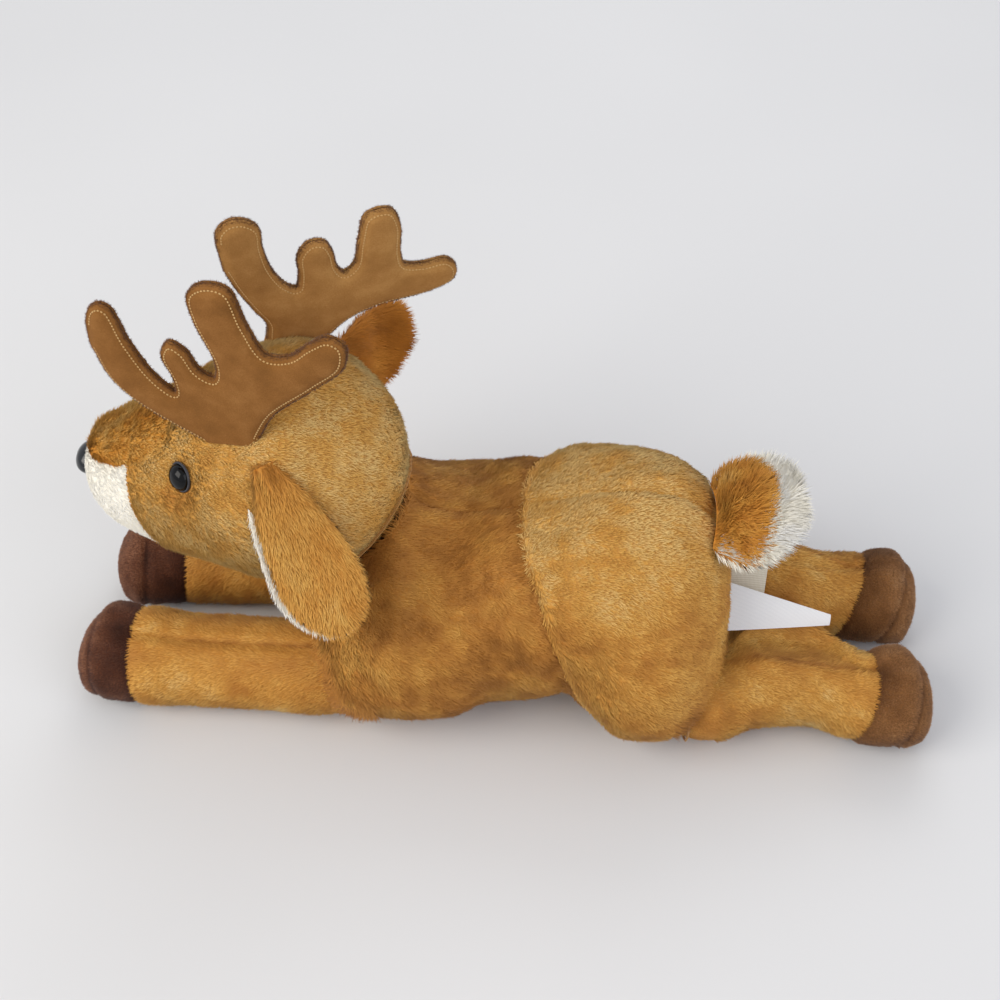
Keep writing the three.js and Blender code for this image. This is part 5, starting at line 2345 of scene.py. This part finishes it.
    def tone(self, points: Points) -> np.ndarray:
        """Clouded."""
        return 0.45 + 0.5 * cloud(points, 3.0, 89)

    def trim(self, points: Points) -> np.ndarray:
        """Only at the raw edge."""
        local = seen_from(self.matrix, points)
        return ((self.to_edge(local[:, :2]) < self.raw_edge) & (local[:, 1] > -1)).astype(float)

    def build(self) -> None:
        """Builds the layers, the stitching and the fuzzy edges."""
        body = f"{self.side}_antler"
        half = self.padding / 2
        low = half + self.layer_gap
        nap = Nap(length=0.8, width=0.24, density=9.0, lean=25, spread=0.8, clump=1.0)
        for face, way in (("front", 1), ("back", -1)):
            name, outer = f"antler_{face}_{self.side}", way * (low + self.suede)
            ends = sorted((way * low, outer))
            layer = self.sheet(f"{name}_suede", self.outline(), *ends)
            self.settle(reshape(layer, lambda places: self.puffed(places, outer)))
            dress(layer, [self.finish] * 2, body, "antler_suede", name)
            thread = self.settle(self.stitches(f"{name}_topstitch", outer), cut=False)
            dress(thread, [STITCH], body, "seam_thread")
            fuzz = self.pile(layer, nap, self.seed + way)
            dress(fuzz, [SUEDE_EDGE.fibres()], body, "antler_suede", crease=None)
        name = f"antler_padding_{self.side}"
        pad = self.sheet(f"{name}_wadding", self.drawn_in(self.padding_margin), -half, half)
        reshape(pad, lambda places: places + np.outer(self.bend(places), [0, 0, 1]))
        dress(self.settle(pad), [ANTLER_WADDING] * 2, body, "antler_wadding", name, padded=0.3)


@dataclass
class Label:
    """A bare cloth label sewn into the seam under the tail.

    Args:
        name: care_label or flag_label.
        body: The body that it rides on.
        slot: The record's slot.
        cloth: Its finish.
        place: Start in front of the body's rear end, place to the side and height.
        size: Length, width at the seam and width at the tip.
        turns: Turn, drop and roll in degrees.
        hidden: Length of it that is sewn in and not made.
        curl: How far it curls.
        thickness: Its thickness.
    """

    name: str
    body: str
    slot: str
    cloth: WovenCloth
    place: tuple
    size: tuple
    turns: tuple
    hidden: float
    curl: float
    thickness: float = 0.35

    @property
    def matrix(self) -> Matrix:
        """The label's frame, with +X to its tip."""
        inset, y, z = self.place
        return frame_at((TORSO.front + TORSO.length - inset, MIDDLE + y, z), self.turns)

    def pressed(self, points: Points, room: float) -> Points:
        """Presses points down where the label lies on them.

        Args:
            points: The points.
            room: How far.

        Returns:
            Their new places.
        """
        length, width, _ = self.size
        local = seen_from(self.matrix, points)
        beside = np.maximum(np.abs(local[:, 1]) - width / 2, 0)
        beyond = np.maximum(local[:, 0] - length, 0)
        over = 1 - rise(np.hypot(beside, beyond), 0.0, 9.0)
        sink = np.maximum(local[:, 2] + room, 0) * over * (local[:, 0] > -4)
        return points - np.outer(sink, np.array(self.matrix)[:3, 2])

    def build(self) -> None:
        """Builds the label as a strip with a slight curl."""
        length, width, tip = self.size
        form = bmesh.new()
        bmesh.ops.create_grid(form, x_segments=28, y_segments=12, size=0.5)
        for vertex in form.verts:
            along, across = vertex.co.x + 0.5, vertex.co.y * 2
            x = self.hidden + along * (length - self.hidden)
            half = (width + (tip - width) * x / length) / 2
            lift = self.curl * (math.sin(along * 2.6) - 0.25 * across * across * along)
            vertex.co = (self.matrix @ Vector((x, across * half, lift))) * MM
        for face in form.faces:
            face.smooth = True
        piece = object_of(form, f"{self.name}_cloth")
        thick = piece.modifiers.new("thickness", "SOLIDIFY")
        thick.thickness, thick.offset = self.thickness * MM, 0.0
        dress(carve(piece, Cut.AWAY), [self.cloth], self.body, self.slot, self.name)


CARE_LABEL = Label(
    "care_label",
    "care_tag",
    "care_cloth",
    CARE,
    place=(7, 2, 52),
    size=(20, 13, 13),
    turns=(0, 8, 45),
    hidden=4.0,
    curl=0.5,
)
FLAG_LABEL = Label(
    "flag_label",
    "flag_tag",
    "label_satin",
    SATIN,
    place=(7, -12, 50),
    size=(46, 20, 4),
    turns=(6, 13, 45),
    hidden=4.0,
    curl=1.2,
)


@dataclass
class Leg(Upholstered):
    """One stuffed leg with its hoof.

    Args:
        place: Where it starts and points.
        shares: Along the leg: where, height, width, and how far its middle has come down.
        hoof: Pile of the hoof.
        slot: The record's slot of the hoof.
        seam_angle: Place of the lengthwise seam round the leg, in degrees from the +Y side.
        thigh: How far the thigh's middle lies towards the midline and upwards, and its swell.
        sole: How far the sole's seam lies beyond the hoof's.
        settle: How deep the ground flattens it.
        hoof_row: Row of the shares whose height the ground carries.
        grid: Points round and along the leg.
    """

    place: LegPlace
    shares: tuple
    hoof: PileCloth
    slot: str
    seam_angle: float
    thigh: tuple = (0.0, 0.0, 0.0)
    sole: float = 16.0
    settle: float = 0.5
    hoof_row: int = 5
    grid: tuple = (80, 80)

    def shape(self, share: np.ndarray, angle: np.ndarray) -> Points:
        """Places a sphere's vertices on the leg.

        Args:
            share: Share of the way from pole to pole.
            angle: Angle round that way.

        Returns:
            Places in the deer's frame.
        """
        polar, back, along = on_ball(share)
        tall, wide, down = table_at(self.shares, along, False).T
        radius, room = SIZES.leg_radius, SIZES.pile_room
        inner = ~at_pole(share)
        lowered = np.maximum(tall, self.shares[self.hoof_row][1]) * radius
        lowered -= self.settle + self.place.root_z
        x = np.where(back, -(radius - room) * np.cos(polar), along * (self.place.length - room))
        inward, upward, swell = self.thigh
        full = rise(x, 3, 24) * (1 - rise(x, 36, 64))
        half_h, half_w = (
            np.where(back, (radius - room) * np.sin(polar), np.maximum(v * radius - room, 0))
            + swell * full
            for v in (tall, wide)
        )
        z = np.where(back, 0, down * lowered) + upward * full
        y = -math.copysign(inward, self.place.y) * full
        hoof = self.hoof_distance(np.stack([x, 0 * x, z + half_h * np.sin(angle)], axis=1))
        turn = angle - math.radians(self.seam_angle)
        seam = falloff(np.angle(np.exp(1j * turn)), 0.22) * rise(x, 8, 20) * (hoof < 0)
        cleft = np.minimum(np.abs(angle - math.pi / 2), np.abs(angle + math.pi / 2))
        cleft = falloff(cleft, 0.26) * (hoof > 1.5) * np.clip(half_h / 8, 0, 1)
        deep = 1.3 * seam + 1.3 * falloff(hoof, 3.4) + 0.6 * cleft
        deep = deep + 1.2 * falloff(hoof - self.sole, 2.2)
        half_h, half_w = (np.maximum(half - deep, 0) * inner for half in (half_h, half_w))
        local = np.stack([x, y + half_w * np.cos(angle), z + half_h * np.sin(angle)], axis=1)
        whole = through(self.place.matrix, local)
        axis = through(self.place.matrix, np.stack([x, y, z], axis=1))
        lumps = 1.6 * cloud(whole, 15.0, 91) + 0.7 * cloud(whole, 7.0, 92)
        whole += unit(whole - axis) * (lumps * rise(x, 4, 14) * inner)[:, None]
        if self.place == LEGS[2]:
            whole = FLAG_LABEL.pressed(whole, 2.6)
        whole[:, 2] = np.maximum(whole[:, 2], 0.0)
        return whole

    def seam_plane(self) -> tuple[Vector, Vector]:
        """A point on the hoof seam and its normal, in the leg's own frame."""
        turn = Matrix.Rotation(math.radians(self.place.hoof_tilt), 3, "Y")
        return Vector((self.place.hoof_share * self.place.length, 0, 0)), turn @ Vector((1, 0, 0))

    def hoof_distance(self, local: Points) -> np.ndarray:
        """How far points of the leg's own frame lie beyond the hoof seam."""
        spot, normal = self.seam_plane()
        return (local - np.array(spot)) @ np.array(normal)

    def local(self, points: Points) -> Points:
        """The points in the leg's own frame."""
        return seen_from(self.place.matrix, points)

    def flow(self, points: Points) -> Points:
        """From root to hoof, and a little down the sides."""
        along = np.array(self.place.matrix)[:3, 0]
        return along + [0, 0, -0.35] + 0.5 * drift(points, 18.0, 95)

    def tone(self, points: Points) -> np.ndarray:
        """Clouded, with painted shade in the creases of the hoof, sole and lengthwise seams and at
        the root; pale front soles.
        """
        local = self.local(points)
        hoof = self.hoof_distance(local)
        turn = np.arctan2(local[:, 2], local[:, 1]) - math.radians(self.seam_angle)
        turn = np.angle(np.exp(1j * turn))
        # Painted shade in the crease of the lengthwise seam and in a broader band beside it.
        seam = (0.34 * falloff(turn, 0.12) + 0.1 * falloff(turn + 0.3, 0.7)) * (hoof < 0)
        # Painted shade in the crease of the hoof seam and at the root under the body.
        shade = 0.26 * falloff(hoof, 2.6) + seam + 0.14 * falloff(local[:, 0] - 4, 14.0)
        # Painted shade in the crease of the sole seam.
        shade = shade + 0.4 * falloff(hoof - self.sole, 1.6)
        sole = 0.3 * (self.hoof == DARK_HOOF) * rise(hoof, self.sole, self.sole + 1)
        return 0.62 + mottle(points, 12.0, 98) - shade + sole

    def trim(self, points: Points) -> np.ndarray:
        """Flattened on the ground, at the hoof seam and inside the socket."""
        local = self.local(points)
        length = 1 - 0.4 * falloff(self.hoof_distance(local), 1.5)
        length = np.where(local[:, 0] < SIZES.leg_radius * 0.2, 0.4, length)
        return np.where(points[:, 2] < 1.0, 0.3, length)

    def part(self, whole: Piece, name: str, ahead: bool) -> Piece:
        """The leg's part on one side of the hoof seam.

        Args:
            whole: The whole leg.
            name: The part's name.
            ahead: Whether it is the hoof.

        Returns:
            The part.
        """
        spot, normal = self.seam_plane()
        spot = spot + normal * SIZES.seam_gap / 2 * (1 if ahead else -1)
        turn = self.place.matrix
        form = bmesh.new()
        form.from_mesh(whole.data)
        cut = bmesh.ops.bisect_plane(
            form,
            geom=form.verts[:] + form.edges[:] + form.faces[:],
            dist=1e-7,
            plane_co=(turn @ spot) * MM,
            plane_no=turn.to_3x3() @ normal,
            clear_inner=ahead,
            clear_outer=not ahead,
        )["geom_cut"]
        edges = [e for e in cut if isinstance(e, bmesh.types.BMEdge)]
        caps = bmesh.ops.edgeloop_fill(form, edges=edges)["faces"]
        bmesh.ops.recalc_face_normals(form, faces=form.faces)
        for face in caps:
            face.material_index = INSIDE
        return object_of(form, name)

    def build(self) -> None:
        """Builds the leg, its hoof and their pile."""
        name, side = self.place.name, self.place.side
        body = f"{side}_{name}_leg"
        whole = formed("leg_form", *self.grid, self.shape)
        minky = Nap(length=1.4, width=0.4, density=4.8, lean=52, spread=0.45, clump=3.0)
        seed = 500 + 20 * LEGS.index(self.place)
        leg = self.part(whole, f"{name}_leg_{side}_cloth", False)
        self.cover(leg, GOLDEN, "golden_pile", body, Nap(), seed, padded=0.85)
        hoof = self.part(whole, f"{name}_hoof_{side}_cloth", True)
        self.cover(hoof, self.hoof, self.slot, body, minky, seed + 8, padded=0.85)
        drop(whole)


@dataclass
class Inside:
    """The filling, washers and gathering threads, which keep the frame's own shapes.

    Args:
        finishes: Finish for each word in a node's name.
    """

    # The filling's tan is painted shade for the gaps where it shows.
    finishes: tuple = (("stuffing", TAN_SHADED_FILLING), ("washer", WASHER), ("seam_thread", SEAM))

    def build(self) -> None:
        """Gives each of the frame's own nodes its finish."""
        for name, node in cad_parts.items():
            for word, finish in self.finishes:
                if word in name:
                    for slot in node.material_slots:
                        slot.material = material_of(finish)


FRONT_SHARES = (
    (0.00, 1.00, 1.00, 0.0),
    (0.25, 0.99, 0.98, 0.8),
    (0.55, 0.98, 0.98, 1.0),
    (0.74, 1.04, 1.04, 1.0),
    (0.87, 1.05, 1.06, 1.0),
    (0.96, 0.78, 0.78, 0.9),
    (0.99, 0.42, 0.44, 0.9),
    (1.00, 0.00, 0.00, 0.9),
)
HIND_SHARES = (
    (0.00, 1.00, 1.00, 0.0),
    (0.25, 0.96, 0.95, 0.8),
    (0.50, 0.88, 0.86, 1.0),
    (0.70, 0.97, 0.99, 1.0),
    (0.85, 1.06, 1.08, 1.0),
    (0.95, 0.84, 0.86, 0.9),
    (0.99, 0.44, 0.46, 0.9),
    (1.00, 0.00, 0.00, 0.9),
)
THIGH = (9.0, 6.0, 4.5)
LEFT_TINES = (
    (-0.37, 0.78), (-0.33, 0.86), (-0.28, 0.89), (-0.24, 0.86), (-0.23, 0.65), (-0.19, 0.42),
    (-0.13, 0.32), (-0.11, 0.40), (-0.11, 0.57), (-0.05, 0.65), (0.00, 0.59), (0.02, 0.46),
    (0.07, 0.41), (0.11, 0.50), (0.11, 0.80), (0.14, 0.96), (0.23, 1.01), (0.31, 0.97),
    (0.32, 0.75), (0.35, 0.57), (0.44, 0.56), (0.54, 0.63), (0.63, 0.67), (0.68, 0.62),
    (0.65, 0.49), (0.50, 0.36), (0.27, 0.18), (0.15, 0.01),
)
LEFT_HEEL = ((-0.11, 0.00), (-0.25, 0.16), (-0.34, 0.29), (-0.39, 0.42), (-0.40, 0.65))
RIGHT_TINES = (
    (-0.42, 0.66), (-0.43, 0.73), (-0.40, 0.80), (-0.34, 0.82), (-0.27, 0.78), (-0.23, 0.65),
    (-0.17, 0.51), (-0.09, 0.40), (-0.03, 0.37), (-0.04, 0.47), (-0.07, 0.60), (-0.04, 0.70),
    (0.02, 0.71), (0.07, 0.64), (0.11, 0.54), (0.15, 0.50), (0.18, 0.56), (0.16, 0.74),
    (0.15, 0.90), (0.19, 0.95), (0.25, 0.96), (0.31, 0.87), (0.36, 0.67), (0.40, 0.59),
    (0.48, 0.59), (0.58, 0.63), (0.64, 0.58), (0.65, 0.49), (0.57, 0.40), (0.35, 0.28),
    (0.24, 0.16), (0.18, 0.03),
)
RIGHT_HEEL = ((-0.09, 0.00), (-0.11, 0.10), (-0.19, 0.21), (-0.28, 0.34), (-0.36, 0.48))
FAR_EAR = Ear(
    side="right",
    root=(11, 38, 17),
    tip=(34, 74, -2),
    face=(0.81, -0.57, 0.12),
    flap=30.0,
    # The far ear's deeper pile and low tone are painted shade.
    cloth=DEEP,
    slot="deep_pile",
    nap=Nap(length=4.4, width=0.52, density=3.2, lean=56, spread=0.2, sway=0.7, clump=3.6),
    show=0.0,
    tuck=2.6,
    reach=0.92,
    shade=0.24,
    root_lift=0.8,
    lining_pile=1.2,
    seed=321,
)

PARTS = (
    TORSO,
    HEAD,
    Ear(),
    FAR_EAR,
    Antler("left", (-14.3, -23.3, 30.5), (-11.2, -12.1, 94.2), LEFT_TINES, LEFT_HEEL),
    Antler(
        "right",
        (-2.4, 27.8, 33.7),
        (24.7, 16.9, 101.3),
        RIGHT_TINES,
        RIGHT_HEEL,
        # Paler suede as painted light.
        finish=LIT_SUEDE,
        seed=452,
    ),
    Leg(LEGS[0], FRONT_SHARES, DARK_HOOF, "dark_hoof_pile", 75),
    Leg(LEGS[1], FRONT_SHARES, DARK_HOOF, "dark_hoof_pile", 75),
    Leg(LEGS[2], HIND_SHARES, BROWN_HOOF, "brown_hoof_pile", 90, THIGH),
    Leg(LEGS[3], HIND_SHARES, BROWN_HOOF, "brown_hoof_pile", 90, THIGH),
    Tail(),
    CARE_LABEL,
    FLAG_LABEL,
    Inside(),
)


@dataclass(frozen=True)
class PaleFloor(Finish):
    """Matt paper sweep: nearly even, so that only the deer's shadow shows on it.

    Args:
        shades: Its two hex colours.
    """

    shades: tuple[str, str] = ("#dbdcdd", "#dfe0e1")

    def paint(self, tree: bpy.types.NodeTree, place: bpy.types.NodeSocket) -> dict:
        """Clouds of a third of a metre."""
        noise = {0: place, "Scale": per_mm(333), "Detail": 2.0}
        soft = add_node(tree, "ShaderNodeTexNoise", noise).outputs[0]
        stops = tuple(zip((0.3, 0.7), self.shades))
        colour = add_node(tree, "ShaderNodeValToRGB", {0: soft, "stops": stops}).outputs[0]
        return {"Base Color": colour, "Roughness": 0.9, "Specular IOR Level": 0.2}


@dataclass
class Studio:
    """Floor, lamps and camera.

    Args:
        camera: Camera place in metres.
        right: The picture's right in the deer's frame.
        down: The picture's down.
        focal: Focal length as a share of the picture's width.
        sensor: Width of the sensor in millimetres.
        lamps: Name, place and side in metres, power in watts and hex colour of each soft box.
        room: Hex colour and strength of the room's light, and of what the camera sees of it.
    """

    camera: tuple = (0.0292, -0.40496, 0.4829)
    right: tuple = (0.9974, 0.0723, -0.0039)
    down: tuple = (0.0482, -0.7022, -0.7104)
    focal: float = 1.5368
    sensor: float = 36.0
    lamps: tuple = (
        ("key", (-1.1, -0.8, 1.1), 1.1, 17.0, "#fffaf2"),
        ("fill", (1.1, -0.9, 0.9), 1.2, 6.5, "#f6f7ff"),
        ("rim", (0.2, 1.2, 1.1), 1.0, 5.0, "#ffffff"),
    )
    room: tuple = (("#f6f6fa", 0.62), ("#e2e4e8", 0.95))

    def look(self) -> None:
        """Makes the camera at the photograph's angle."""
        data = bpy.data.cameras.new("camera")
        data.sensor_width, data.lens, data.clip_start = self.sensor, self.focal * self.sensor, 0.01
        made = linked("camera", data)
        across = Vector(self.right).normalized()
        back = across.cross(-Vector(self.down)).normalized()
        axes = Matrix((across, back.cross(across), back)).transposed()
        made.matrix_world = Matrix.Translation(self.camera) @ axes.to_4x4()
        bpy.context.scene.camera = made

    def hang_lamps(self) -> None:
        """Adds the square soft boxes, which face the deer."""
        for name, place, size, power, tint in self.lamps:
            data = bpy.data.lights.new(name, "AREA")
            data.shape, data.size, data.energy = "SQUARE", size, power
            data.color = linear(tint)[:3]
            made = linked(name, data)
            aim = (Vector((0, 0, 0.08)) - Vector(place)).to_track_quat("-Z", "Y")
            made.matrix_world = Matrix.Translation(place) @ aim.to_matrix().to_4x4()

    def light_room(self) -> None:
        """Lights the room, which the camera and glossy surfaces see a little brighter."""
        world = bpy.data.worlds.new("soft_room")
        bpy.context.scene.world = world
        world.use_nodes = True
        tree = world.node_tree
        tree.nodes.clear()
        ray = add_node(tree, "ShaderNodeLightPath", {}).outputs
        seen = {"operation": "MAXIMUM", 0: ray["Is Camera Ray"], 1: ray["Is Glossy Ray"]}
        seen = add_node(tree, "ShaderNodeMath", seen).outputs[0]
        shades = [{"Color": linear(tint), "Strength": power} for tint, power in self.room]
        lit, shown = (add_node(tree, "ShaderNodeBackground", s).outputs[0] for s in shades)
        mixed = add_node(tree, "ShaderNodeMixShader", {0: seen, 1: lit, 2: shown})
        add_node(tree, "ShaderNodeOutputWorld", {0: mixed.outputs[0]})
        bpy.context.scene.view_settings.view_transform = "Standard"

    def build(self) -> None:
        """Lays the floor and lights it."""
        form = bmesh.new()
        bmesh.ops.create_circle(form, cap_ends=True, segments=96, radius=4.0)
        floor = object_of(form, "floor")
        floor.data.materials.clear()
        floor.data.materials.append(material_of(PaleFloor("pale_paper_floor")))
        self.hang_lamps()
        self.light_room()


def main() -> None:
    """Builds the studio and the deer's sub-assemblies in order."""
    logging.basicConfig(level=logging.INFO, format="%(name)s %(message)s")
    studio = Studio()
    studio.look()
    for part in PARTS:
        part.build()
        LOG.info("%s done", type(part).__name__)
    studio.build()


if __name__ == "__main__":
    main()
